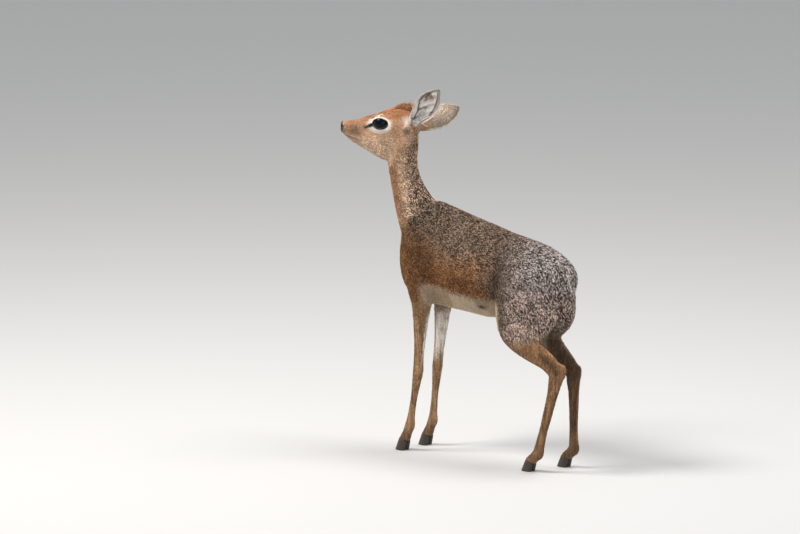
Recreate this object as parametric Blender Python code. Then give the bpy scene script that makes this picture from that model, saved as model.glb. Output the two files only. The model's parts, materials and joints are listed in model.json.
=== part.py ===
"""Kirk's dik-dik, a hornless female, standing with its neck stretched up to browse.

The frame has +X towards the front of the trunk, +Y to the animal's left and +Z up,
with the floor at z = 0. Lengths are written in millimetres and scaled to metres
where a mesh is made.
"""
import math

import bmesh
import bpy
import numpy as np

MM = 0.001
SEAM = 0.3            # gap between two nodes that touch

# Trunk
WITHERS_HEIGHT = 409
RUMP_HEIGHT = 362
BELLY_HEIGHT = 232
CHEST_X = 134
RUMP_X = -210
BARREL_HALF_WIDTH = 55

# Neck
NECK_HALF_DEPTH = 26
NECK_HALF_WIDTH = 24

# Head: its back lies at HEAD_ORIGIN and it is turned to the left of the trunk
HEAD_ORIGIN = (113.7, 4.5, 522.0)
HEAD_TURN = math.radians(28)
HEAD_LENGTH = 119
CHEEK_HALF_WIDTH = 28
NOSE_PLANE = 112      # where the bare tip of the nose begins

# Eyes, in the head's own frame: along, to the side and up
EYE_PLACE = (49.0, 15.5, 7.2)
EYE_RADIUS = 13.8
EYE_AIM = (0.08, 0.99, 0.08)
LID_THICKNESS = 1.5
LID_ROUNDING = 1.1
EYE_OPENING = (12.8, 9.1)

# Ears
EAR_LENGTH = 82
EAR_HALF_WIDTH = 18.5
EAR_WALL = 1.6
EAR_ROOT_RADIUS = 7.4
EAR_ROOT_DEPTH = 7
LEFT_EAR = {"root": (-1, 20, 7), "aim": (-50, 19, 61), "face": (0.02, 1.0, 0.0)}
RIGHT_EAR = {"root": (-1, 20, -4), "aim": (-55, 43, 26), "face": (0.2, 0.9, -0.3)}

# Crest between the ears
CREST_LOCKS = 15
CREST_LENGTH = 19
CREST_HALF_WIDTH = 2.3

# Legs: joints of each leg, with the left leg's side positive
LEFT_FORE = {"elbow": (75, 31, 243), "knee": (84, 29, 133), "fetlock": (102, 28, 42)}
RIGHT_FORE = {"elbow": (81, 31, 243), "knee": (92, 29, 133), "fetlock": (101, 28, 42)}
LEFT_HIND = {"stifle": (-112, 35, 226), "hock": (-201, 30, 160), "fetlock": (-167, 33, 31)}
RIGHT_HIND = {"stifle": (-110, 35, 223), "hock": (-188, 28, 150), "fetlock": (-188, 31, 31)}
THIGH_TOE_IN = math.radians(11)
FORE_PASTERN = (10, 0, -23)
HIND_PASTERN = (14, 0, -14)

# Hooves
HOOF_LENGTH = 23
HOOF_WIDTH = 8.6
HOOF_GAP = 1.2
CORONET_SLOPE = math.radians(24)

# Tail
TAIL_LENGTH = 44
TAIL_ROOT = (-201, 0, 325)

# Planes that part the body into nodes
NECK_CUT = (108, 0, 396)
POLL_CUT = (131, 11.5, 479)
POLL_NORMAL = (0.61, 0.32, 0.72)
ELBOW_CUT_HEIGHT = 231
STIFLE_CUT_HEIGHT = 231

# Fineness
BODY_VOXEL = 2.6
HEAD_VOXEL = 1.3
BLEND_ROUNDS = 28
BODY_TRIANGLES = 6700
HEAD_TRIANGLES = 3000

# Colours (linear RGB) and roughness
RUFOUS = (0.30, 0.14, 0.055, 1)
GRIZZLED = (0.16, 0.115, 0.08, 1)
EAR_GREY = (0.34, 0.27, 0.21, 1)
BLACK = (0.012, 0.010, 0.010, 1)
HORN = (0.045, 0.034, 0.026, 1)
COAT_ROUGHNESS = 0.9
WET_ROUGHNESS = 0.12


def clear_scene():
    for item in list(bpy.data.objects):
        bpy.data.objects.remove(item, do_unlink=True)


def paint(item, name, colour, roughness):
    material = bpy.data.materials.new(name)
    material.use_nodes = True
    shader = material.node_tree.nodes["Principled BSDF"]
    shader.inputs["Base Color"].default_value = colour
    shader.inputs["Roughness"].default_value = roughness
    shader.inputs["Metallic"].default_value = 0.0
    item.data.materials.clear()
    item.data.materials.append(material)


def unit(vector):
    vector = np.asarray(vector, float)
    return vector / np.linalg.norm(vector)


def curve_through(rows, steps):
    """Smooth Catmull-Rom rows through the given rows, steps to each gap."""
    rows = np.asarray(rows, float)
    padded = np.vstack([2 * rows[0] - rows[1], rows, 2 * rows[-1] - rows[-2]])
    out = []
    for i in range(1, len(padded) - 2):
        before, start, end, after = padded[i - 1:i + 3]
        for t in np.arange(steps) / steps:
            slope = end - before + t * (2 * before - 5 * start + 4 * end - after)
            cube = t * t * (3 * start - before - 3 * end + after)
            out.append(start + 0.5 * t * (slope + cube))
    out.append(rows[-1])
    return np.array(out)


def make_object(name, points, faces):
    mesh = bpy.data.meshes.new(name)
    mesh.from_pydata((np.asarray(points) * MM).tolist(), [], faces)
    item = bpy.data.objects.new(name, mesh)
    bpy.context.collection.objects.link(item)
    face_outwards(item)
    return item


def face_outwards(item):
    shape = bmesh.new()
    shape.from_mesh(item.data)
    bmesh.ops.recalc_face_normals(shape, faces=shape.faces)
    if shape.calc_volume(signed=True) < 0:
        bmesh.ops.reverse_faces(shape, faces=shape.faces)
    shape.to_mesh(item.data)
    shape.free()


def tube_faces(rings, count):
    """Quads between rings, then a fan at each end round its own middle point."""
    faces = []
    for ring in range(rings - 1):
        for k in range(count):
            a = ring * count + k
            b = ring * count + (k + 1) % count
            faces.append((a, b, b + count, a + count))
    first, last = rings * count, rings * count + 1
    for k in range(count):
        faces.append((first, (k + 1) % count, k))
        base = (rings - 1) * count
        faces.append((last, base + k, base + (k + 1) % count))
    return faces


def loft(name, rows, steps=3, count=28, side=(0, 1, 0), along=None):
    """A body through rows of (x, y, z, over, under, half width, roof, keel).

    over and under are the half depths on the two sides of the row's middle; roof
    and keel narrow the section towards them. The sections stand square to the
    path, or to `along` where it is given.
    """
    rows = curve_through(rows, steps)
    side = unit(side)
    centres = rows[:, :3]
    tangents = np.gradient(centres, axis=0)
    angles = np.linspace(0, 2 * math.pi, count, endpoint=False)
    points = []
    for row, tangent in zip(rows, tangents):
        tangent = unit(along if along is not None else tangent)
        over = unit(np.cross(tangent, side))
        for angle in angles:
            rise = math.sin(angle)
            depth, narrow = (row[3], row[6]) if rise > 0 else (row[4], row[7])
            width = row[5] * math.cos(angle) * (1 - narrow * rise * rise)
            points.append(row[:3] + side * width + over * depth * rise)
    points.append(centres[0])
    points.append(centres[-1])
    return make_object(name, points, tube_faces(len(rows), count))


def ball(name, centre, radii, turn=0.0, fineness=3):
    """An ellipsoid, turned about Z by `turn`."""
    shape = bmesh.new()
    bmesh.ops.create_icosphere(shape, subdivisions=fineness, radius=1.0)
    points = np.array([v.co for v in shape.verts]) * radii
    faces = [[v.index for v in f.verts] for f in shape.faces]
    shape.free()
    spin = np.array([[math.cos(turn), -math.sin(turn), 0],
                     [math.sin(turn), math.cos(turn), 0],
                     [0, 0, 1]])
    return make_object(name, points @ spin.T + np.array(centre), faces)


def slab(name, centre, normal, reach, thickness, first_edge=(0, 1, 0)):
    """A thin box whose middle plane passes through centre, square to normal."""
    normal = unit(normal)
    across = unit(np.cross(first_edge, normal))
    other = np.cross(normal, across)
    corners = []
    for n in (-0.5, 0.5):
        for a, b in ((-1, -1), (1, -1), (1, 1), (-1, 1)):
            spot = np.array(centre) + normal * n * thickness
            corners.append(spot + across * a * reach[0] + other * b * reach[1])
    faces = [(3, 2, 1, 0), (4, 5, 6, 7)]
    faces += [(k, (k + 1) % 4, 4 + (k + 1) % 4, 4 + k) for k in range(4)]
    return make_object(name, corners, faces)


def settle(item):
    """Replaces the object's mesh with what its modifiers make of it."""
    graph = bpy.context.evaluated_depsgraph_get()
    made = bpy.data.meshes.new_from_object(item.evaluated_get(graph))
    item.modifiers.clear()
    item.data = made
    return item


def discard(items):
    for item in items:
        bpy.data.objects.remove(item, do_unlink=True)


def combine(item, others, operation, solver="EXACT"):
    """One Boolean of the item with a collection of closed meshes; its result is triangles."""
    group = bpy.data.collections.new("boolean_" + item.name)
    for other in others:
        group.objects.link(other)
    step = item.modifiers.new("Boolean", "BOOLEAN")
    step.operation = operation
    step.operand_type = "COLLECTION"
    step.collection = group
    step.solver = solver
    settle(item)
    shape = bmesh.new()
    shape.from_mesh(item.data)
    bmesh.ops.triangulate(shape, faces=shape.faces)
    shape.to_mesh(item.data)
    shape.free()
    discard(others)
    bpy.data.collections.remove(group)
    return item


def join_meshes(name, items):
    shape = bmesh.new()
    for item in items:
        shape.from_mesh(item.data)
    mesh = bpy.data.meshes.new(name)
    shape.to_mesh(mesh)
    shape.free()
    discard(items)
    joined = bpy.data.objects.new(name, mesh)
    bpy.context.collection.objects.link(joined)
    return joined


def fuse(name, items, voxel):
    """One skin over overlapping pieces."""
    body = join_meshes(name, items)
    step = body.modifiers.new("Remesh", "REMESH")
    step.mode = "VOXEL"
    step.voxel_size = voxel * MM
    step.adaptivity = 0.0
    return settle(body)


def relax(item, rounds, steps=(0.6, -0.62), share=None):
    """Evens the surface out; a swelling step after each shrinking one keeps its volume.

    share(points) says how much of each step every point takes.
    """
    mesh = item.data
    edges = np.empty(len(mesh.edges) * 2, int)
    mesh.edges.foreach_get("vertices", edges)
    edges = edges.reshape(-1, 2)
    points = np.empty(len(mesh.vertices) * 3)
    mesh.vertices.foreach_get("co", points)
    points = points.reshape(-1, 3)
    degree = np.bincount(edges.ravel(), minlength=len(points))[:, None]
    weight = 1.0 if share is None else share(points / MM)[:, None]
    for step in steps * rounds:
        total = np.zeros_like(points)
        np.add.at(total, edges[:, 0], points[edges[:, 1]])
        np.add.at(total, edges[:, 1], points[edges[:, 0]])
        points = points + step * weight * (total / degree - points)
    mesh.vertices.foreach_set("co", points.ravel())
    mesh.update()
    return item


def simplify(item, triangles):
    item.modifiers.new("Triangulate", "TRIANGULATE")
    settle(item)
    step = item.modifiers.new("Decimate", "DECIMATE")
    step.ratio = min(1.0, triangles / len(item.data.polygons))
    return settle(item)


def loose_pieces(item):
    """The item's separate closed surfaces, each as its own object, largest first."""
    shape = bmesh.new()
    shape.from_mesh(item.data)
    shape.verts.ensure_lookup_table()
    label = [-1] * len(shape.verts)
    groups = []
    for start in shape.verts:
        if label[start.index] >= 0:
            continue
        label[start.index] = len(groups)
        group, stack = [], [start]
        while stack:
            vertex = stack.pop()
            group.append(vertex.index)
            for edge in vertex.link_edges:
                other = edge.other_vert(vertex)
                if label[other.index] < 0:
                    label[other.index] = len(groups)
                    stack.append(other)
        groups.append(group)
    faces = [[] for _ in groups]
    for face in shape.faces:
        faces[label[face.verts[0].index]].append([v.index for v in face.verts])
    points = np.array([v.co for v in shape.verts]) / MM
    shape.free()
    pieces = []
    for group, own in sorted(zip(groups, faces), key=lambda pair: -len(pair[0])):
        place = {old: new for new, old in enumerate(group)}
        local = [[place[k] for k in face] for face in own]
        pieces.append(make_object(item.name + "_piece", points[group], local))
    discard([item])
    return pieces


def keep_largest(item):
    name = item.name
    pieces = loose_pieces(item)
    discard(pieces[1:])
    pieces[0].name = name
    return pieces[0]


def middle_of(item):
    return np.mean([v.co[:] for v in item.data.vertices], axis=0) / MM


# The head's own frame
HEAD_ALONG = np.array([math.cos(HEAD_TURN), math.sin(HEAD_TURN), 0])
HEAD_SIDE = np.array([-math.sin(HEAD_TURN), math.cos(HEAD_TURN), 0])
HEAD_UP = np.array([0, 0, 1.0])


def head_vector(vector, hand=1):
    return HEAD_ALONG * vector[0] + HEAD_SIDE * vector[1] * hand + HEAD_UP * vector[2]


def head_point(place, hand=1):
    return np.array(HEAD_ORIGIN) + head_vector(place, hand)


def make_trunk():
    """Rows run from the rump to the chest: x, top, bottom, half width, roof, keel."""
    girth = BARREL_HALF_WIDTH
    rows = [
        (RUMP_X, 308, 294, 7, 0, 0),
        (-200, 330, 281, 27, 0, 0),
        (-182, 344, 270, 39, 0, 0.1),
        (-155, 357, 262, 47, 0, 0.1),
        (-122, RUMP_HEIGHT + 4, 254, 46, 0.05, 0.1),
        (-88, 372, 240, 45, 0.15, 0.05),
        (-50, 381, BELLY_HEIGHT - 1, girth - 3, 0.2, 0.05),
        (-8, 390, BELLY_HEIGHT + 2, girth + 1, 0.25, 0.1),
        (32, 401, 236, girth - 5, 0.35, 0.2),
        (66, WITHERS_HEIGHT, 239, 43, 0.4, 0.05),
        (92, 402, 242, 39, 0.3, 0),
        (112, 388, 249, 35, 0.1, 0),
        (127, 366, 261, 25, 0, 0),
        (CHEST_X, 338, 290, 8, 0, 0),
    ]
    full = []
    for x, top, bottom, half, roof, keel in rows:
        depth = (top - bottom) / 2
        full.append((x, 0, bottom + depth, depth, depth, half, roof, keel))
    return loft("trunk", full, steps=4, count=40, along=(1, 0, 0))


def neck_rows():
    deep, wide = NECK_HALF_DEPTH, NECK_HALF_WIDTH
    return [
        (66, 0, 335, 34, 40, 30, 0, 0),
        (92, 0, 365, 39, 44, 36, 0, 0),
        (112, 0.5, 393, 31, 37, 32, 0, 0),
        (126, 3, 421, 27, 28, wide + 2, 0, 0),
        (133, 7, 452, deep - 1, deep - 1, wide, 0, 0),
        (131.5, 11, 482, deep, deep + 1, wide + 1, 0, 0),
        (127, 13, 508, deep, deep, wide, 0, 0),
        (123, 13, 522, 15, 15, 15, 0, 0),
    ]


def make_neck(name):
    return loft(name, neck_rows(), steps=4, count=32)


def make_skull():
    """Rows run from the back of the head to the nose: along, top, middle, bottom, half width, roof, keel."""
    cheek = CHEEK_HALF_WIDTH
    rows = [
        (-9, 14, 4, -8, 8, 0, 0),
        (-3, 25, 6, -20, 19, 0, 0),
        (8, 32, 8, -36, 25, 0.1, 0.1),
        (22, 34, 8, -51, 28, 0.15, 0.3),
        (36, 30, 7, -57, cheek, 0.05, 0.42),
        (50, 24, 5, -55, 27, 0, 0.5),
        (62, 19.5, 2, -49.5, 23, 0.05, 0.5),
        (75, 16, -2, -42, 18.2, 0.1, 0.4),
        (88, 11, -5, -34.5, 15, 0.1, 0.3),
        (99, 8.2, -6, -28, 12.8, 0, 0.2),
        (107, 7.4, -6, -22, 11.8, 0, 0.1),
        (114, 6.8, -4, -15.5, 10.8, 0, 0.1),
        (HEAD_LENGTH - 1, 5, -3, -12, 8.4, 0, 0),
        (HEAD_LENGTH, 2, -3, -8.5, 5, 0, 0),
    ]
    full = []
    for reach, top, middle, bottom, half, roof, keel in rows:
        spot = head_point((reach, 0, middle))
        full.append((*spot, top - middle, middle - bottom, half, roof, keel))
    return loft("skull", full, steps=4, count=36, side=HEAD_SIDE, along=HEAD_ALONG)


def eye_centre(hand):
    return head_point(EYE_PLACE, hand)


def eye_axis(hand):
    return unit(head_vector(EYE_AIM, hand))


def eye_outline(scale=1.0, count=24):
    """The almond between the lids, a little drawn out towards the nose."""
    half_long, half_high = EYE_OPENING
    outline = []
    for k in range(count):
        angle = 2 * math.pi * k / count
        across, rise = math.cos(angle), math.sin(angle)
        stretch = 1.12 if across > 0 else 1.0
        pinch = 1 - 0.22 * across * across
        outline.append((half_long * across * stretch * scale, half_high * rise * pinch * scale))
    return outline


def eye_window(hand):
    """A flared plug that opens the lids in front of the eyeball."""
    centre, axis = eye_centre(hand), eye_axis(hand)
    forward = unit(HEAD_ALONG - axis * np.dot(HEAD_ALONG, axis))
    upward = unit(HEAD_UP - axis * axis[2] - forward * forward[2])
    points, levels = [], ((2.0, 0.96), (EYE_RADIUS + 12, 1.15))
    for depth, scale in levels:
        for a, b in eye_outline(scale):
            points.append(centre + axis * depth + forward * a + upward * b)
    count = len(eye_outline())
    points.append(centre + axis * levels[0][0])
    points.append(centre + axis * levels[1][0])
    return make_object("eye_window", points, tube_faces(2, count))


def lid_rim(hand):
    """The rounded edge of both lids, lying on the eyeball round the opening."""
    centre, axis = eye_centre(hand), eye_axis(hand)
    forward = unit(HEAD_ALONG - axis * np.dot(HEAD_ALONG, axis))
    upward = unit(HEAD_UP - axis * axis[2] - forward * forward[2])
    ring_radius = EYE_RADIUS + SEAM + LID_ROUNDING
    path = []
    for a, b in eye_outline():
        flat = math.hypot(a, b)
        lift = math.sqrt(max(ring_radius ** 2 - flat ** 2, (0.24 * ring_radius) ** 2))
        path.append(centre + unit(axis * lift + forward * a + upward * b) * ring_radius)
    count, sides = len(path), 6
    points, faces = [], []
    for i, spot in enumerate(path):
        tangent = unit(path[(i + 1) % count] - path[i - 1])
        outward = unit(spot - centre)
        across = unit(np.cross(tangent, outward))
        for k in range(sides):
            angle = 2 * math.pi * k / sides
            points.append(spot + (across * math.cos(angle) * 1.3 + outward * math.sin(angle)) * LID_ROUNDING)
    for i in range(count):
        for k in range(sides):
            a, b = i * sides + k, i * sides + (k + 1) % sides
            c, d = (b + sides) % (count * sides), (a + sides) % (count * sides)
            faces.append((a, b, c, d))
    return make_object("lid_rim", points, faces)


def thread(name, path, radius, count=8, taper=0.5):
    """A round rod along a path, thinner at its ends."""
    path = curve_through(path, 5)
    tangents = np.gradient(path, axis=0)
    points = []
    for i, (spot, tangent) in enumerate(zip(path, tangents)):
        share = math.sin(math.pi * i / (len(path) - 1))
        size = radius * (taper + (1 - taper) * share)
        first = unit(np.cross(tangent, (0.3, 0.2, 0.93)))
        second = unit(np.cross(tangent, first))
        for k in range(count):
            angle = 2 * math.pi * k / count
            points.append(spot + size * (first * math.cos(angle) + second * math.sin(angle)))
    points.append(path[0])
    points.append(path[-1])
    return make_object(name, points, tube_faces(len(path), count))


def mouth_line():
    """The groove between the lips, right round the front of the muzzle."""
    side_path = [(88, 16, -21.5), (97, 13.8, -19.5), (105, 12.2, -17), (110.5, 9, -15.5)]
    path = [head_point(p, 1) for p in side_path]
    path.append(head_point((114, 0, -14.5)))
    path += [head_point(p, -1) for p in reversed(side_path)]
    return thread("mouth_line", path, 1.1, taper=0.6)


def nostril(hand):
    """A slanting comma that opens to the side of the nose tip."""
    path = [head_point(p, hand) for p in ((119, 4.2, -5.4), (118.4, 6.0, -2.2), (116, 9.0, -0.6), (113, 10.8, -2.6))]
    return thread("nostril", path, 1.5, count=8, taper=0.5)


def gland(hand):
    """The slit of the scent gland in front of the eye."""
    path = [head_point(p, hand) for p in ((66, 21.5, 1.0), (71, 20.3, -0.5), (76, 18.6, -2.0))]
    return thread("gland", path, 1.4, count=8, taper=0.5)


def ear_frame(ear, hand):
    root = head_point(ear["root"], hand)
    axis = unit(head_vector(ear["aim"], hand))
    face = head_vector(ear["face"], hand)
    face = unit(face - axis * np.dot(face, axis))
    return root, axis, face


def ear_plug(ear, hand):
    """The short solid root of the ear."""
    root, axis, face = ear_frame(ear, hand)
    radius = EAR_ROOT_RADIUS
    rows = []
    for spot in (root - axis * EAR_ROOT_DEPTH, root + axis * 9):
        rows.append((*spot, radius, radius, radius, 0, 0))
    return loft("ear_plug", rows, steps=1, count=16, side=face, along=axis)


def ear_pocket(ear, hand):
    """The room that the head leaves for the ear: its root's socket, then a funnel round the cup."""
    root, axis, face = ear_frame(ear, hand)
    narrow = EAR_ROOT_RADIUS + SEAM
    rows = []
    for reach, radius in ((-EAR_ROOT_DEPTH - SEAM, narrow), (1, narrow), (8, 11), (17, 14.5), (30, 19)):
        spot = root + axis * reach
        rows.append((*spot, radius, radius, radius, 0, 0))
    return loft("ear_pocket", rows, steps=1, count=16, side=face, along=axis)


def make_ear(name, ear, hand):
    """A cup: sections are arcs that open towards the ear's face, from a rolled root to a point."""
    root, axis, face = ear_frame(ear, hand)
    across = unit(np.cross(axis, face))
    arcs = [
        (0.00, 5.2, 150), (0.08, 7.8, 138), (0.18, 11.0, 118), (0.32, 15.2, 98), (0.47, 18.0, 84),
        (0.62, 17.6, 78), (0.75, 14.6, 74), (0.86, 10.0, 72), (0.94, 5.4, 70), (1.0, 1.2, 70),
    ]
    arcs = curve_through(arcs, 1)
    count = 12
    points = []
    for share, half, opening in arcs:
        half = half * EAR_HALF_WIDTH / 18.0
        reach = math.radians(opening)
        bend = 5.0 * math.sin(math.pi * share) - 4.0 * share
        spot = root + axis * EAR_LENGTH * share - face * bend
        radius = half / (math.sin(reach) if opening < 90 else 1.0)
        wall = EAR_WALL * (1 - 0.45 * share)
        for grown in (0.0, wall):
            for k in range(count):
                turn = reach * (2 * k / (count - 1) - 1)
                rim = 1 - 0.35 * abs(2 * k / (count - 1) - 1) ** 4
                size = radius + grown * rim
                flat = 0.62
                points.append(spot + across * size * math.sin(turn)
                              + face * (radius - size * math.cos(turn)) * flat
                              - face * radius * flat * 0.5)
    faces = []
    stride = 2 * count
    for i in range(len(arcs) - 1):
        for k in range(count - 1):
            for sheet in (0, count):
                a = i * stride + sheet + k
                b, c, d = a + 1, a + 1 + stride, a + stride
                faces += [(a, b, c), (a, c, d)]
        for edge in (0, count - 1):
            a = i * stride + edge
            b, c, d = a + count, a + count + stride, a + stride
            faces += [(a, b, c), (a, c, d)]
    for base in (0, (len(arcs) - 1) * stride):
        for k in range(count - 1):
            a = base + k
            faces += [(a, a + 1, a + 1 + count), (a, a + 1 + count, a + count)]
    cup = make_object(name, points, faces)
    combine(cup, [ear_plug(ear, hand)], "UNION")
    cup = keep_largest(cup)
    paint(cup, name, EAR_GREY, COAT_ROUGHNESS)
    return cup


def ear_mound(ear, hand):
    """Flesh that rises out of the skull round the ear's root."""
    root, axis, face = ear_frame(ear, hand)
    size = EAR_ROOT_RADIUS
    rows = [
        (*(root - axis * 24), size + 5, size + 5, size + 5, 0, 0),
        (*(root - axis * 8), size + 4.5, size + 4.5, size + 4.5, 0, 0),
        (*(root + axis * 0.5), size + 3, size + 3, size + 3, 0, 0),
    ]
    return loft("ear_mound", rows, steps=3, count=24, side=face, along=axis)


def crest_lock(spot, lie, length, half_width, curl):
    """A flat tapered lock that leaves the skin along `lie` and bends back over the head."""
    across = unit(np.cross(lie, HEAD_UP))
    stations = 5
    points = []
    for i in range(stations):
        share = i / (stations - 1)
        bend = HEAD_UP * (-curl * share * share)
        middle = spot + lie * length * share + bend
        width = half_width * (1 - 0.82 * share)
        thick = 0.75 * (1 - 0.6 * share)
        normal = unit(np.cross(across, lie))
        points += [middle + across * width, middle + normal * thick,
                   middle - across * width, middle - normal * thick]
    points.append(spot)
    points.append(middle)
    return make_object("crest_lock", points, tube_faces(stations, 4))


def crest():
    """Locks in staggered rows between the ears, the front ones over the back ones."""
    random = np.random.default_rng(7)
    locks = []
    for k in range(CREST_LOCKS):
        row, column = divmod(k, 5)
        reach = 27 - 9 * row + random.uniform(-1.5, 1.5)
        aside = (column - 2) * 3.2 + (row % 2) * 1.5 + random.uniform(-0.6, 0.6)
        height = 33.5 - 0.06 * aside * aside - 0.012 * (reach - 18) ** 2 - 2.2
        spot = head_point((reach, aside, height))
        lie = unit(head_vector((-0.80, 0.035 * aside, 0.62 + random.uniform(-0.06, 0.06))))
        length = CREST_LENGTH * random.uniform(0.85, 1.1)
        locks.append(crest_lock(spot, lie, length, CREST_HALF_WIDTH, curl=3.5))
    return locks


def between(start, end, rows):
    """Loft rows along one bone, from (share of its length, front, rear, half width, keel)."""
    start, end = np.array(start, float), np.array(end, float)
    out = []
    for share, front, rear, wide, keel in rows:
        spot = start + (end - start) * share
        out.append((*spot, front, rear, wide, 0, keel))
    return out


def mirrored(joints, hand):
    return {name: (x, y * hand, z) for name, (x, y, z) in joints.items()}


def make_foreleg(joints, hand):
    joints = mirrored(joints, hand)
    elbow, knee, fetlock = joints["elbow"], joints["knee"], joints["fetlock"]
    hoof = tuple(a + b for a, b in zip(fetlock, FORE_PASTERN))
    beyond = tuple(a + 1.5 * b for a, b in zip(fetlock, FORE_PASTERN))
    shoulder = (elbow[0] + 5, 27 * hand, elbow[2] + 96)
    rows = between(shoulder, elbow, [
        (0, 17, 20, 10, 0), (0.25, 24, 26, 15.5, 0), (0.5, 31, 31, 19, 0), (0.75, 27, 28, 18.5, 0),
    ])
    rows += between(elbow, knee, [
        (0, 20, 19, 13.8, 0), (0.2, 15.2, 15, 11.2, 0), (0.42, 11.5, 12.2, 9.0, 0),
        (0.66, 9.0, 9.6, 7.5, 0), (0.86, 8.8, 8.8, 7.4, 0),
    ])
    rows += between(knee, fetlock, [
        (0, 9.0, 9.4, 7.8, 0), (0.18, 7.8, 8.2, 6.8, 0), (0.42, 6.1, 6.5, 5.6, 0),
        (0.66, 6.0, 6.2, 5.3, 0), (0.86, 6.8, 7.4, 6.0, 0),
    ])
    rows += between(fetlock, hoof, [(0, 8.6, 9.6, 7.8, 0), (0.5, 7.6, 8.0, 7.8, 0), (0.9, 8.4, 8.4, 9.0, 0)])
    rows.append((*beyond, 8.6, 8.6, 9.6, 0, 0))
    return loft("foreleg", rows, steps=3, count=24)


def make_thigh(hand):
    """Level slices from the rump down to the stifle: x, y, z, half length, half width."""
    rows = [
        (-143, 18, 334, 36, 19), (-143, 24, 308, 51, 25), (-142, 28, 280, 56, 24.5),
        (-141, 30, 252, 57, 22), (-139, 32, 234, 52, 19), (-133, 33.5, 216, 40, 16),
        (-127, 34, 204, 26, 12),
    ]
    full = [(x, y * hand, z, deep, deep, wide, 0, 0) for x, y, z, deep, wide in rows]
    across = (-hand * math.sin(THIGH_TOE_IN), math.cos(THIGH_TOE_IN), 0)
    return loft("thigh", full, steps=4, count=32, side=across, along=(0, 0, -1))


def make_gaskin(joints, hand):
    """From stifle to hock; its rear edge is the tendon, which runs on to the point of the hock."""
    joints = mirrored(joints, hand)
    rows = between(joints["stifle"], joints["hock"], [
        (-0.12, 16, 16, 11, 0), (0, 25, 25, 15, 0), (0.17, 26.5, 26, 15.5, 0.1),
        (0.36, 23.5, 22, 13.5, 0.2), (0.56, 17.5, 21.5, 11, 0.35), (0.77, 10, 23, 9, 0.55),
        (0.93, 9.5, 21, 8.2, 0.5), (1.06, 8, 12, 6.5, 0.2),
    ])
    return loft("gaskin", rows, steps=3, count=24)


def make_hind_cannon(joints, hand):
    """From the point of the hock down through the fetlock to the coronet."""
    joints = mirrored(joints, hand)
    hock, fetlock = joints["hock"], joints["fetlock"]
    hoof = tuple(a + b for a, b in zip(fetlock, HIND_PASTERN))
    beyond = tuple(a + 1.6 * b for a, b in zip(fetlock, HIND_PASTERN))
    rows = between(hock, fetlock, [
        (-0.16, -8, 14, 4, 0), (-0.11, -1, 18, 6.5, 0), (-0.03, 9, 18, 8.2, 0.2),
        (0.06, 11.5, 14.5, 8.6, 0.2), (0.14, 10, 13, 8.0, 0.1), (0.24, 8, 11.5, 7.0, 0),
        (0.38, 7.4, 10.6, 6.4, 0), (0.55, 7.3, 9.6, 6.0, 0), (0.73, 7.4, 8.2, 5.9, 0),
        (0.9, 8.2, 9, 6.8, 0),
    ])
    rows += between(fetlock, hoof, [(0, 9.5, 10.5, 8.4, 0), (0.45, 8.4, 8.8, 8.2, 0), (0.95, 8.6, 9, 9.2, 0)])
    rows.append((*beyond, 8.8, 8.8, 9.6, 0, 0))
    return loft("hind_cannon", rows, steps=3, count=24)


def coronet(joints, pastern, hand):
    """Centre and downward normal of the plane where the hair ends and the hooves begin."""
    x, y, z = joints["fetlock"]
    centre = np.array([x + pastern[0], y * hand, z + pastern[2]])
    normal = np.array([math.sin(CORONET_SLOPE), 0, -math.cos(CORONET_SLOPE)])
    return centre, normal


def make_hoof(name, centre, normal, claw):
    """One of a foot's two claws: a wedge with a flat sole and a flat top under the coronet."""
    width = HOOF_WIDTH
    aside = claw * (width + HOOF_GAP) / 2
    lean = normal * SEAM / 2
    slope = np.array([math.cos(CORONET_SLOPE), 0, math.sin(CORONET_SLOPE)])
    count = 16
    levels = []
    top, sole = [], []
    for k in range(count):
        angle = 2 * math.pi * k / count
        fore, out = math.cos(angle), math.sin(angle)
        top.append(centre + lean + slope * 7.6 * fore + np.array([0, aside + out * width * 0.44, 0]))
        heel = -8.0 if fore < 0 else HOOF_LENGTH - 8.0
        narrow = 1 - 0.38 * max(0.0, fore) ** 2
        spot = np.array([centre[0] + 4 + heel * abs(fore) ** 0.9 * 0.86, centre[1], 0])
        inward = -0.5 * claw * max(0.0, fore)
        sole.append(spot + np.array([0, aside + inward + out * width * 0.5 * narrow, 0]))
    for share in (0.0, 0.45, 0.82, 1.0):
        swell = 1 + 0.06 * math.sin(math.pi * share)
        ring = []
        for a, b in zip(top, sole):
            spot = a + (b - a) * share
            spot[1] = centre[1] + aside + (spot[1] - centre[1] - aside) * swell
            ring.append(spot)
        levels.append(ring)
    points = [p for ring in levels for p in ring]
    faces = []
    for i in range(len(levels) - 1):
        for k in range(count):
            a, b = i * count + k, i * count + (k + 1) % count
            faces.append((a, b, b + count, a + count))
    faces.append(tuple(range(count)))
    faces.append(tuple(reversed(range(3 * count, 4 * count))))
    hoof = make_object(name, points, faces)
    paint(hoof, name, HORN, 0.45)
    return hoof


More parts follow.
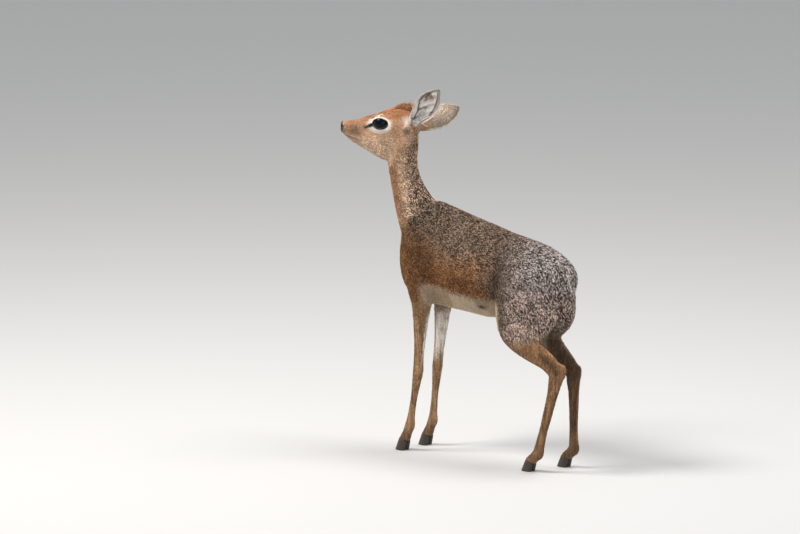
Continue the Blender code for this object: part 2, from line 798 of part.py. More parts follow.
def make_tail(torso):
    """A short flattened tail laid on the rump, its inner face cut to follow the torso's."""
    x, y, z = TAIL_ROOT
    rows = [
        (x + 3, y, z + 6, 5, 9, 6, 0, 0), (x - 3, y, z - 3, 7, 9, 8.5, 0, 0),
        (x - 7, y, z - 16, 7, 9, 10, 0, 0), (x - 8, y, z - 29, 6, 9, 9, 0, 0),
        (x - 8, y, z - TAIL_LENGTH + 6, 4, 8, 6, 0, 0), (x - 8, y, z - TAIL_LENGTH, 1, 3, 2.5, 0, 0),
    ]
    rows = [(a, b, c, inner, outer, wide, p, q) for a, b, c, outer, inner, wide, p, q in rows]
    tail = loft("tail", rows, steps=2, count=14)
    grown = bpy.data.objects.new("torso_grown", torso.data.copy())
    bpy.context.collection.objects.link(grown)
    step = grown.modifiers.new("Displace", "DISPLACE")
    step.strength = SEAM * MM
    step.mid_level = 0.0
    settle(grown)
    combine(tail, [grown], "DIFFERENCE")
    tail = keep_largest(tail)
    paint(tail, "tail", GRIZZLED, COAT_ROUGHNESS)


def body_cuts():
    """Thin slabs that part the body: name, centre, normal, half sizes."""
    cuts = [("neck", NECK_CUT, (0.50, 0.03, 0.86), (60, 60))]
    for hand, fore, hind in ((1, LEFT_FORE, LEFT_HIND), (-1, RIGHT_FORE, RIGHT_HIND)):
        fore, hind = mirrored(fore, hand), mirrored(hind, hand)
        elbow, knee, fetlock = (np.array(fore[n], float) for n in ("elbow", "knee", "fetlock"))
        top = (elbow[0], elbow[1], ELBOW_CUT_HEIGHT)
        cuts.append(("elbow", top, (0, 0, 1), (32, 26)))
        cuts.append(("knee", knee, knee - elbow, (24, 20)))
        cuts.append(("fore_fetlock", fetlock + (-1, 0, 7), fetlock - knee, (22, 20)))
        stifle, hock, fetlock = (np.array(hind[n], float) for n in ("stifle", "hock", "fetlock"))
        top = (-146, 34 * hand, STIFLE_CUT_HEIGHT)
        cuts.append(("thigh", top, (0, 0, 1), (76, 29)))
        cuts.append(("hock", hock + (fetlock - hock) * 0.13, fetlock - hock, (26, 20)))
        cuts.append(("hind_fetlock", fetlock + (fetlock - hock) * -0.07, fetlock - hock, (22, 20)))
    return cuts


def name_body_piece(middle):
    """The node that a piece of the parted body is, told by where its middle lies."""
    x, y, z = middle
    side = "left" if y > 0 else "right"
    if abs(y) < 12:
        return "neck" if z > 400 else "torso"
    if x > 0:
        if z > 133:
            return f"foreleg_{side}_forearm"
        return f"foreleg_{side}_cannon" if z > 42 else f"foreleg_{side}_foot"
    if z > 150:
        return f"hindleg_{side}_thigh"
    return f"hindleg_{side}_cannon" if z > 38 else f"hindleg_{side}_foot"


def under_coronet(centre, normal):
    """All that lies below the coronet, cut from the leg's end."""
    return slab("under_coronet", centre + normal * 20, normal, (24, 16), 40)


def thick_flesh(points):
    """1 on trunk, neck and rump, fading to 0 down the legs."""
    return np.clip((points[:, 2] - 205) / 30, 0, 1)


def make_body():
    pieces = [make_trunk(), make_neck("neck_stem")]
    feet = []
    for hand, fore, hind in ((1, LEFT_FORE, LEFT_HIND), (-1, RIGHT_FORE, RIGHT_HIND)):
        pieces.append(make_foreleg(fore, hand))
        pieces.append(make_thigh(hand))
        pieces.append(make_gaskin(hind, hand))
        pieces.append(make_hind_cannon(hind, hand))
        feet.append(coronet(fore, FORE_PASTERN, hand))
        feet.append(coronet(hind, HIND_PASTERN, hand))
    body = relax(fuse("body", pieces, BODY_VOXEL), 6)
    relax(body, BLEND_ROUNDS, steps=(0.5,), share=thick_flesh)
    body = simplify(body, BODY_TRIANGLES)
    cutters = [slab(name, centre, normal, reach, SEAM) for name, centre, normal, reach in body_cuts()]
    cutters += [under_coronet(centre - normal * SEAM / 2, normal) for centre, normal in feet]
    above = np.array(POLL_CUT) + unit(POLL_NORMAL) * 40
    cutters.append(slab("poll", above, POLL_NORMAL, (60, 60), 80))
    combine(body, cutters, "DIFFERENCE")
    found = {}
    for piece in loose_pieces(body):
        name = name_body_piece(middle_of(piece))
        if name in found:
            discard([piece])
            continue
        piece.name = name
        found[name] = piece
        rufous = "leg" in name
        paint(piece, name, RUFOUS if rufous else GRIZZLED, COAT_ROUGHNESS)
    return found


def throat_and_nape(points):
    """1 where the neck runs into the skull, fading to 0 at the face and the ears."""
    local = points - np.array(HEAD_ORIGIN)
    reach, rise = local @ HEAD_ALONG, local @ HEAD_UP
    return np.clip((34 - reach) / 20, 0, 1) * np.clip((-2 - rise) / 12, 0, 1)


def make_head():
    pieces = [make_skull(), make_neck("neck_top")]
    for hand, ear in ((1, LEFT_EAR), (-1, RIGHT_EAR)):
        pieces.append(ear_mound(ear, hand))
        lid = EYE_RADIUS + LID_THICKNESS
        pieces.append(ball("lid", eye_centre(hand), (lid, lid, lid)))
    head = relax(fuse("head", pieces, HEAD_VOXEL), 5)
    relax(head, BLEND_ROUNDS, steps=(0.5,), share=throat_and_nape)
    head = simplify(head, HEAD_TRIANGLES)
    cutters = [mouth_line()]
    for hand in (1, -1):
        cutters.append(nostril(hand))
        cutters.append(gland(hand))
    below = np.array(POLL_CUT) + unit(POLL_NORMAL) * (SEAM - 120)
    cutters.append(slab("below_poll", below, POLL_NORMAL, (160, 160), 240))
    nose = head_point((NOSE_PLANE, 0, 0))
    combine(head, cutters, "DIFFERENCE")
    sockets = []
    for hand in (1, -1):
        socket = EYE_RADIUS + SEAM
        sockets.append(ball("socket", eye_centre(hand), (socket, socket, socket)))
    combine(head, sockets, "DIFFERENCE")
    combine(head, [eye_window(1), eye_window(-1)], "DIFFERENCE")
    combine(head, [lid_rim(1), lid_rim(-1)], "UNION")
    combine(head, [slab("nose", nose, HEAD_ALONG, (40, 30), SEAM)], "DIFFERENCE")
    pieces = loose_pieces(head)
    head, tip = pieces[0], pieces[1]
    discard(pieces[2:])
    tip.name = "nose"
    paint(tip, "nose", BLACK, 0.5)
    for lock in crest():
        combine(head, [lock], "UNION")
    combine(head, [ear_pocket(LEFT_EAR, 1), ear_pocket(RIGHT_EAR, -1)], "DIFFERENCE")
    head = keep_largest(head)
    head.name = "head"
    paint(head, "head", RUFOUS, COAT_ROUGHNESS)


def make_eyes():
    for hand, side in ((1, "left"), (-1, "right")):
        radius = EYE_RADIUS
        eye = ball("eye_" + side, eye_centre(hand), (radius, radius, radius))
        eye.data.shade_smooth()
        paint(eye, "eye_" + side, BLACK, WET_ROUGHNESS)


def make_hooves():
    for hand, side in ((1, "left"), (-1, "right")):
        fore = LEFT_FORE if hand > 0 else RIGHT_FORE
        hind = LEFT_HIND if hand > 0 else RIGHT_HIND
        for leg, joints, pastern in (("fore", fore, FORE_PASTERN), ("hind", hind, HIND_PASTERN)):
            centre, normal = coronet(joints, pastern, hand)
            make_hoof(f"hoof_{leg}_{side}_outer", centre, normal, hand)
            make_hoof(f"hoof_{leg}_{side}_inner", centre, normal, -hand)


def centre_on_floor():
    """Moves the whole model so that the middle of its base is the frame's origin."""
    nodes = [item for item in bpy.data.objects if item.type == "MESH"]
    points = np.vstack([[v.co[:] for v in item.data.vertices] for item in nodes])
    low, high = points.min(axis=0), points.max(axis=0)
    middle = (low + high) / 2
    shift = (-middle[0], -middle[1], -low[2])
    for item in nodes:
        shape = bmesh.new()
        shape.from_mesh(item.data)
        bmesh.ops.translate(shape, vec=shift, verts=shape.verts)
        shape.to_mesh(item.data)
        shape.free()
        item.data.shade_smooth()


def main():
    clear_scene()
    body = make_body()
    make_tail(body["torso"])
    make_head()
    make_eyes()
    make_ear("ear_left", LEFT_EAR, 1)
    make_ear("ear_right", RIGHT_EAR, -1)
    make_hooves()
    centre_on_floor()


main()
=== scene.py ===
import json
import math

import bmesh
import bpy
import numpy as np
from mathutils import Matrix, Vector
from mathutils.bvhtree import BVHTree

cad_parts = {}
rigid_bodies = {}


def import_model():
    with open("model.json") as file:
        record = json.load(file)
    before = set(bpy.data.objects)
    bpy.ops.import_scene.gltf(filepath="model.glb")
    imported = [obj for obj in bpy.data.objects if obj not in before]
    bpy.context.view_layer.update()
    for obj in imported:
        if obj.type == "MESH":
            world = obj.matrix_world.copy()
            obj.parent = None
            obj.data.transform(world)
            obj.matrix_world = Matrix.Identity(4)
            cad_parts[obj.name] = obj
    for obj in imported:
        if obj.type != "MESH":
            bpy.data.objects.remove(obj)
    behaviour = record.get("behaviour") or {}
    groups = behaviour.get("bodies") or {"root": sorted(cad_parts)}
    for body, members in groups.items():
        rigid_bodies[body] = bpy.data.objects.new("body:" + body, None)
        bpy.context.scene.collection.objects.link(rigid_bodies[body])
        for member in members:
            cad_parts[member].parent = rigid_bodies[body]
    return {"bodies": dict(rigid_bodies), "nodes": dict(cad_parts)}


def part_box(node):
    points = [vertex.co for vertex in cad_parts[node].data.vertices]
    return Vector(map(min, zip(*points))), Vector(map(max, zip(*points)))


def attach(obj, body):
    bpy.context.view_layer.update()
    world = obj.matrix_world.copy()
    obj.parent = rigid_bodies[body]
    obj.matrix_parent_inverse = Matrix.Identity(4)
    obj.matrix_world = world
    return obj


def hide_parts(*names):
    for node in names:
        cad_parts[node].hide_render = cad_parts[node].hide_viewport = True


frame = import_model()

# the start-up file's own objects would count in the bounds
frameObjects = [*frame["nodes"].values(), *frame["bodies"].values()]
for thing in list(bpy.data.objects):
    if thing not in frameObjects:
        bpy.data.objects.remove(thing, do_unlink=True)
bpy.context.view_layer.update()
print("frame loaded:", len(frame["nodes"]), "nodes")

mm = 0.001
weldDistance = 0.01 * mm
chance = np.random.default_rng(11)
latticeSize = 48
lattice = chance.random((latticeSize, latticeSize, latticeSize))


# small helpers for points and meshes

def unit(vectors):
    vectors = np.asarray(vectors, float)
    return vectors / np.maximum(np.linalg.norm(vectors, axis=-1, keepdims=True), 1e-12)


def ramp(value, low, high):
    # 0 at low, 1 at high and smooth between them
    share = np.clip((value - low) / (high - low), 0, 1)
    return share * share * (3 - 2 * share)


def fall(value, low, high):
    return 1 - ramp(value, low, high)


def bell(distance, width):
    return np.exp(-(distance / width) ** 2)


def softNoise(points, size, stretch=(1, 1, 1)):
    # smooth chance values from 0 to 1 over cells of the given size in mm
    spot = points / (mm * size * np.array(stretch))
    cell = np.floor(spot).astype(int)
    part = ramp(spot - cell, 0, 1)
    total = np.zeros(len(points))
    for corner in np.ndindex(2, 2, 2):
        weight = np.abs(1 - np.array(corner) - part).prod(axis=1)
        total += weight * lattice[tuple(((cell + corner) % latticeSize).T)]
    return total


def addObject(name, data):
    thing = bpy.data.objects.new(name, data)
    bpy.context.collection.objects.link(thing)
    return thing


def editMesh(mesh, change):
    shape = bmesh.new()
    shape.from_mesh(mesh)
    change(shape)
    shape.to_mesh(mesh)
    shape.free()


def facesOutward(shape):
    bmesh.ops.recalc_face_normals(shape, faces=shape.faces)


def makePiece(name, points, faces, material, smooth=True):
    mesh = bpy.data.meshes.new(name)
    mesh.from_pydata(np.asarray(points).tolist(), [], faces)
    editMesh(mesh, facesOutward)
    if smooth:
        mesh.shade_smooth()
    mesh.materials.append(material)
    return addObject(name, mesh)


def settle(piece):
    # turns the modifiers' result into the mesh itself
    graph = bpy.context.evaluated_depsgraph_get()
    made = bpy.data.meshes.new_from_object(piece.evaluated_get(graph))
    piece.modifiers.clear()
    piece.data = made


def readArray(items, key, width, kind=np.float32):
    values = np.empty(len(items) * width, kind)
    items.foreach_get(key, values)
    return values.reshape(-1, width)


def readPoints(mesh):
    return readArray(mesh.vertices, "co", 3).astype(float)


def readNormals(mesh):
    return readArray(mesh.vertices, "normal", 3).astype(float)


def writePoints(mesh, points):
    mesh.vertices.foreach_set("co", points.astype(np.float32).ravel())
    mesh.update()


def paintPoints(mesh, name, values):
    values = np.asarray(values, np.float32)
    if values.ndim == 1:
        mesh.attributes.new(name, "FLOAT", "POINT").data.foreach_set("value", values)
    else:
        full = np.ones((len(values), 4), np.float32)
        full[:, :3] = values
        mesh.attributes.new(name, "FLOAT_COLOR", "POINT").data.foreach_set("color", full.ravel())


def swatch(red, green, blue):
    # a screen colour of 0 to 255 as linear light
    shade = np.array((red, green, blue)) / 255
    return np.where(shade < 0.04045, shade / 12.92, ((shade + 0.055) / 1.055) ** 2.4)


def swatches(tones):
    return {name: swatch(*tone) for name, tone in tones.items()}


# the animal's own measures in mm: body points from its mid plane, head points along, aside and up

def middleOf(node):
    low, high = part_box(node)
    return (np.array(low) + np.array(high)) / 2


body = {
    "neckCut": (108, 0, 396), "neckNormal": (0.50, 0.03, 0.86), "neckBlend": (-30, 12),
    "pollCut": (131, 11.5, 479), "pollNormal": (0.61, 0.32, 0.72), "pollBlend": (-6, 10),
    "legBlend": (200, 248), "headFromBody": (113.7, 4.5, 522),
    "neckLine": ((66, 335), (92, 365), (112, 393), (126, 421), (133, 452), (131.5, 482), (127, 508),
                 (123, 522)),
}
eye = {
    "place": (49.0, 15.5, 7.2), "radius": 13.8, "aim": (0.08, 0.99, 0.08), "opening": (12.8, 9.1),
    "openingAhead": 0.8, "stretchAhead": 1.12, "pinch": 0.22, "leastLift": 0.24,
}
eyeMiddles = {1: middleOf("eye_left"), -1: middleOf("eye_right")}
headUp = np.array((0.0, 0.0, 1.0))
headSide = unit(eyeMiddles[1] - eyeMiddles[-1])
headAlong = unit(np.cross(headSide, headUp))
eyeOffset = headAlong * eye["place"][0] + headUp * eye["place"][2]
headOrigin = (eyeMiddles[1] + eyeMiddles[-1]) / 2 - eyeOffset * mm
bodyOrigin = headOrigin - np.array(body["headFromBody"]) * mm
neckLine = np.array(body["neckLine"], float)


def bodyPlace(points):
    return (points - bodyOrigin) / mm


def headPlace(points):
    away = points - headOrigin
    return np.stack([away @ headAlong, away @ headSide, away @ headUp], -1) / mm


def headVector(way, hand):
    # the same way seen from the left side of the head, hand 1, or mirrored, hand -1
    return headAlong * way[0] + headSide * (way[1] * hand) + headUp * way[2]


def headPoint(place, hand):
    return headOrigin + headVector(place, hand) * mm


def mirrored(places):
    # both sides of the body measured as one
    return np.stack([places[:, 0], np.abs(places[:, 1]), places[:, 2]], -1)


def regions(points):
    # shares from 0 to 1 of the head, the neck and the legs
    place = bodyPlace(points)
    head = ramp((place - body["pollCut"]) @ unit(body["pollNormal"]), *body["pollBlend"])
    neck = ramp((place - body["neckCut"]) @ unit(body["neckNormal"]), *body["neckBlend"]) * (1 - head)
    leg = fall(place[:, 2], *body["legBlend"])
    return head, neck, leg


def neckShift(place):
    # how far a point lies in front of the neck's middle line
    return place[:, 0] - np.interp(place[:, 2], neckLine[:, 1], neckLine[:, 0])


def lidReach(face, wider, taller):
    # 1 on an oval around the eye that is wider and taller than its opening by so many mm
    ahead = face[:, 0] - (eye["place"][0] + eye["openingAhead"])
    above = face[:, 2] - eye["place"][2]
    return np.hypot(ahead / (eye["opening"][0] + wider), above / (eye["opening"][1] + taller))


# materials

def newMaterial(name, values):
    # constant values sit on the shader's own sockets
    material = bpy.data.materials.new(name)
    material.use_nodes = True
    shader = material.node_tree.nodes["Principled BSDF"]
    for key, value in values.items():
        shader.inputs[key].default_value = value
    return material, material.node_tree, shader


def feed(tree, slot, value):
    # a socket takes another node's output, a colour or a number
    if isinstance(value, bpy.types.NodeSocket):
        tree.links.new(value, slot)
    elif isinstance(value, tuple):
        slot.default_value = (*value[:3], 1)
    else:
        slot.default_value = value


def addNode(tree, kind, **settings):
    node = tree.nodes.new("ShaderNode" + kind)
    for key, value in settings.items():
        if key in node.inputs:
            feed(tree, node.inputs[key], value)
        else:
            setattr(node, key, value)
    return node


def mathNode(tree, operation, first, second):
    node = addNode(tree, "Math", operation=operation)
    feed(tree, node.inputs[0], first)
    feed(tree, node.inputs[1], second)
    return node.outputs[0]


def times(tree, first, second):
    return mathNode(tree, "MULTIPLY", first, second)


def plus(tree, first, second):
    return mathNode(tree, "ADD", first, second)


def mixNode(tree, share, first, second, blend="MIX"):
    node = addNode(tree, "Mix", data_type="RGBA", blend_type=blend)
    for slot, value in ((node.inputs["Factor"], share), (node.inputs[6], first), (node.inputs[7], second)):
        feed(tree, slot, value)
    return node.outputs[2]


def rampNode(tree, value, low, high, start=0.0, end=1.0):
    node = addNode(tree, "MapRange", interpolation_type="SMOOTHSTEP", Value=value)
    for key, number in (("From Min", low), ("From Max", high), ("To Min", start), ("To Max", end)):
        node.inputs[key].default_value = number
    return node.outputs[0]


def greyNode(tree, value):
    return addNode(tree, "CombineColor", Red=value, Green=value, Blue=value).outputs[0]


def attributeNode(tree, name, output="Fac"):
    return addNode(tree, "Attribute", attribute_name=name).outputs[output]


def noiseNode(tree, **settings):
    place = addNode(tree, "TexCoord").outputs["Object"]
    return addNode(tree, "TexNoise", Vector=place, **settings).outputs["Fac"]


def bumpNode(tree, shader, height, strength, distance):
    bump = addNode(tree, "Bump", Height=height, Strength=strength, Distance=distance)
    tree.links.new(bump.outputs["Normal"], shader.inputs["Normal"])


def newGroup(name, inputs, outputs):
    group = bpy.data.node_groups.new(name, "ShaderNodeTree")
    for label, kind, value in inputs:
        socket = group.interface.new_socket(name=label, in_out="INPUT", socket_type=kind)
        if value is not None:
            socket.default_value = value
    for label, kind in outputs:
        group.interface.new_socket(name=label, in_out="OUTPUT", socket_type=kind)
    return group, group.nodes.new("NodeGroupInput"), group.nodes.new("NodeGroupOutput")


def useGroup(tree, group, **values):
    return addNode(tree, "Group", node_tree=group, **values)


def makeTickingGroup():
    # each hair is banded dark, pale and dark again, and Ticking says how strongly
    look = {
        "patchScale": 60.0, "unevenness": (0.3, 0.7, -0.06, 0.06), "patchShade": (0.25, 0.75, 0.84, 1.16),
        "strandShare": 0.8, "alongShare": 0.35, "pepper": (0.66, 0.48), "salt": (0.68, 0.82),
        "darkTip": (0.86, 1.0, 0.0, 0.55), "dark": (0.10, 0.075, 0.055), "pale": (3.3, 3.5, 3.75),
    }
    group, start, end = newGroup(
        "agoutiTicking",
        [("Markings", "NodeSocketColor", (0.2, 0.15, 0.1, 1)), ("Ticking", "NodeSocketFloat", 0.5),
         ("Strand", "NodeSocketFloat", 0.5), ("Along", "NodeSocketFloat", 0.6),
         ("Patchiness", "NodeSocketFloat", 0.25)],
        [("Color", "NodeSocketColor")],
    )
    given = start.outputs
    patches = noiseNode(group, Scale=look["patchScale"], Detail=4.0)
    phase = plus(group, times(group, given["Strand"], look["strandShare"]),
                 times(group, given["Along"], look["alongShare"]))
    phase = plus(group, phase, rampNode(group, patches, *look["unevenness"]))
    tip = rampNode(group, given["Along"], *look["darkTip"])
    pepper = mathNode(group, "MAXIMUM", rampNode(group, phase, *look["pepper"]), tip)
    salt = rampNode(group, phase, *look["salt"])
    colour = given["Markings"]
    for share, tint in ((pepper, look["dark"]), (salt, look["pale"])):
        tinted = mixNode(group, 1.0, given["Markings"], tint, "MULTIPLY")
        colour = mixNode(group, times(group, share, given["Ticking"]), colour, tinted)
    shade = plus(group, rampNode(group, patches, *look["patchShade"]), -1.0)
    shade = plus(group, times(group, times(group, shade, given["Patchiness"]), 2.0), 1.0)
    colour = mixNode(group, 1.0, colour, greyNode(group, shade), "MULTIPLY")
    group.links.new(colour, end.inputs["Color"])
    return group


def makeHairGrainGroup():
    group, start, end = newGroup(
        "hairGrain",
        [("Size", "NodeSocketFloat", 900.0), ("Depth", "NodeSocketFloat", 1.0)],
        [("Height", "NodeSocketFloat"), ("Strand", "NodeSocketFloat")],
    )
    fine = noiseNode(group, Scale=start.outputs["Size"], Detail=3.0, Roughness=0.65)
    group.links.new(times(group, fine, start.outputs["Depth"]), end.inputs["Height"])
    group.links.new(rampNode(group, fine, 0.32, 0.68), end.inputs["Strand"])
    return group


tickingGroup = makeTickingGroup()
hairGrainGroup = makeHairGrainGroup()


def tickedColour(tree, **values):
    group = useGroup(tree, tickingGroup, Markings=attributeNode(tree, "markings", "Color"),
                     Ticking=attributeNode(tree, "ticking"), **values)
    return group.outputs["Color"]


def makeSkinMaterial():
    look = {"roughness": (0.82, 0.38), "bump": (0.55, 0.0008), "grainSize": 760.0, "patchiness": 0.2}
    material, tree, shader = newMaterial("shortCoatSkin", {"Sheen Weight": 0.08, "Specular IOR Level": 0.3})
    grain = useGroup(tree, hairGrainGroup, Size=look["grainSize"], Depth=1.0)
    colour = tickedColour(tree, Strand=grain.outputs["Strand"], Patchiness=look["patchiness"])
    tree.links.new(colour, shader.inputs["Base Color"])
    rough = rampNode(tree, attributeNode(tree, "bareSkin"), 0.2, 0.9, *look["roughness"])
    tree.links.new(rough, shader.inputs["Roughness"])
    bumpNode(tree, shader, grain.outputs["Height"], *look["bump"])
    return material


def makeCoatMaterial():
    look = {"rootShade": 0.42, "tipShade": 1.12, "fullShadeAt": 0.75, "patchiness": 0.2}
    material, tree, shader = newMaterial(
        "tuftedCoat", {"Roughness": 0.68, "Sheen Weight": 0.06, "Specular IOR Level": 0.25})
    along = attributeNode(tree, "along")
    strand = attributeNode(tree, "strand")
    colour = tickedColour(tree, Strand=strand, Along=along, Patchiness=look["patchiness"])
    shade = rampNode(tree, along, 0.0, look["fullShadeAt"], look["rootShade"], look["tipShade"])
    full = mixNode(tree, 1.0, colour, greyNode(tree, shade), "MULTIPLY")
    tree.links.new(full, shader.inputs["Base Color"])
    return material


def makeEyeMaterial():
    look = {"iris": (0.005, 0.003, 0.002), "pupil": (0.001, 0.001, 0.002), "rim": (0.003, 0.002, 0.002),
            "fibreScale": 420.0}
    material, tree, shader = newMaterial("wetDarkEye", {
        "Roughness": 0.04, "Specular IOR Level": 0.2, "Specular Tint": (0.66, 0.8, 1.0, 1),
        "Coat Weight": 0.04, "Coat Roughness": 0.03,
    })
    zone = attributeNode(tree, "iris")
    fibre = noiseNode(tree, Scale=look["fibreScale"], Detail=4.0)
    iris = mixNode(tree, rampNode(tree, fibre, 0.35, 0.7), look["iris"], look["rim"])
    colour = mixNode(tree, rampNode(tree, zone, 0.35, 0.5), look["pupil"], iris)
    colour = mixNode(tree, rampNode(tree, zone, 0.85, 1.0), colour, look["rim"])
    tree.links.new(colour, shader.inputs["Base Color"])
    return material


def makeLidMaterial():
    look = {"skin": (0.018, 0.013, 0.011), "paler": (0.045, 0.032, 0.026), "bump": (0.3, 0.0003),
            "grainSize": 1500.0}
    material, tree, shader = newMaterial("moistLidSkin", {"Roughness": 0.35})
    grain = useGroup(tree, hairGrainGroup, Size=look["grainSize"], Depth=1.0)
    colour = mixNode(tree, grain.outputs["Strand"], look["skin"], look["paler"])
    tree.links.new(colour, shader.inputs["Base Color"])
    bumpNode(tree, shader, grain.outputs["Height"], *look["bump"])
    return material


def makeHornMaterial():
    look = {"dark": (0.022, 0.016, 0.012), "light": (0.085, 0.062, 0.044), "roughness": (0.42, 0.62),
            "bump": (0.45, 0.0004), "grainSize": 700.0, "ringCount": 58.0, "grainShare": 0.6,
            "ringShare": 0.25}
    material, tree, shader = newMaterial("hoofHorn", {})
    grain = useGroup(tree, hairGrainGroup, Size=look["grainSize"], Depth=1.0)
    strand = grain.outputs["Strand"]
    rings = mathNode(tree, "SINE", times(tree, attributeNode(tree, "growth"), look["ringCount"]), 0.0)
    rings = plus(tree, times(tree, rings, 0.5), 0.5)
    tone = plus(tree, times(tree, strand, look["grainShare"]), times(tree, rings, look["ringShare"]))
    tree.links.new(mixNode(tree, tone, look["dark"], look["light"]), shader.inputs["Base Color"])
    tree.links.new(rampNode(tree, strand, 0.0, 1.0, *look["roughness"]), shader.inputs["Roughness"])
    bumpNode(tree, shader, plus(tree, rings, grain.outputs["Height"]), *look["bump"])
    return material


skinMaterial = makeSkinMaterial()
coatMaterial = makeCoatMaterial()
eyeMaterial = makeEyeMaterial()
lidMaterial = makeLidMaterial()
hornMaterial = makeHornMaterial()
floorMaterial = newMaterial("paleFloor", {"Base Color": (0.62, 0.615, 0.605, 1), "Roughness": 0.9})[0]
print("materials ready")


# markings of the coat, by place on the animal

coatColours = swatches({
    "back": (120, 99, 81), "withers": (107, 88, 71), "rump": (149, 137, 130), "haunch": (158, 137, 124),
    "hollow": (68, 54, 44), "flank": (139, 93, 54), "shoulder": (94, 60, 32), "chest": (128, 91, 53),
    "neckSide": (212, 180, 150), "neckFront": (180, 136, 100), "throat": (186, 150, 122),
    "nape": (150, 123, 102), "belly": (214, 194, 166), "leg": (158, 123, 88), "legDark": (88, 62, 40),
    "hindLeg": (156, 116, 79), "thighFront": (126, 98, 70), "thighLow": (182, 157, 139),
    "innerLeg": (246, 238, 228), "innerHind": (84, 68, 54), "pastern": (108, 80, 56),
    "face": (214, 172, 136), "bridge": (186, 134, 97), "crown": (182, 126, 84), "cheek": (224, 192, 162),
    "jaw": (228, 206, 182), "muzzle": (126, 95, 70), "ring": (236, 229, 218), "black": (16, 13, 13),
    "earPatch": (238, 230, 220), "underEar": (112, 97, 86), "nose": (62, 51, 47),
    "tailEdge": (234, 226, 214), "fold": (62, 54, 51), "rust": (170, 116, 70), "bellyShade": (176, 148, 120),
})
edgeLines = {
    # heights by x, the nape's edge by height, and on the head aside by along, along by up and up by along
    "flank": ((-120, 236), (-85, 276), (-40, 322), (30, 342), (90, 358), (140, 380)),
    "thigh": ((-215, 222), (-178, 217), (-146, 208), (-120, 206), (-105, 210), (-88, 231)),
    "nape": ((396, -12), (438, -19), (500, -21)),
    "brow": ((44, 23.5), (53, 22.5), (61, 18), (70, 11), (78, 8)),
    "leather": ((-12, 116.5), (-4, 112.5), (4, 114.5)),
    "lips": ((88, -21.5), (97, -19.5), (105, -17), (110.5, -15.5), (114, -14.5)),
}
flankPatches = (
    # colour, middle and half sizes in x and z, share and ticking
    # the first entry is painted shade in the dip of the flank in front of the haunch, over slightly darker
    # hair
    ("hollow", (-86, 305), (17, 46), 0.85, None),
    ("shoulder", (72, 318), (26, 40), 0.9, 0.5),
    ("shoulder", (46, 292), (9, 34), 0.55, 0.5),
    ("rust", (-44, 316), (34, 20), 0.42, 0.6),
    # painted shade on the flank above the belly
    ("shoulder", (-22, 290), (16, 11), 0.6, 0.6),
)
nostrilPath = ((119, 4.2, -5.4), (118.4, 6.0, -2.2), (116, 9.0, -0.6), (113, 10.8, -2.6))
tailEdgePath = ((-196, 2, 331), (-206, 8, 315), (-212, 5, 292))
eyeRing = {"middle": (52.3, 5.4), "sizes": (22.0, 14.8), "edge": (0.84, 1.04)}


def edgeLine(name, where):
    return np.interp(where, *np.array(edgeLines[name]).T)


def nearSegment(points, start, end):
    start, end = np.array(start, float), np.array(end, float)
    line = end - start
    share = np.clip(((points - start) @ line) / (line @ line), 0, 1)
    return np.linalg.norm(points - start - share[:, None] * line, axis=1)


def pathGap(points, path):
    return np.min([nearSegment(points, start, end) for start, end in zip(path, path[1:])], axis=0)


def nostrilGap(face):
    return pathGap(mirrored(face), nostrilPath)


def blob(points, middle, sizes):
    return np.exp(-(((points - np.array(middle)) / np.array(sizes)) ** 2).sum(axis=1))


def painter(shades, colour, ticking, mask=1.0):
    # lay brings colour and ticking, changed in place, towards a shade by its share
    def lay(name, share, speckle=None):
        share = share * mask
        colour[:] += (shades[name] - colour) * share[:, None]
        if speckle is not None:
            ticking[:] += (speckle - ticking) * share

    return lay


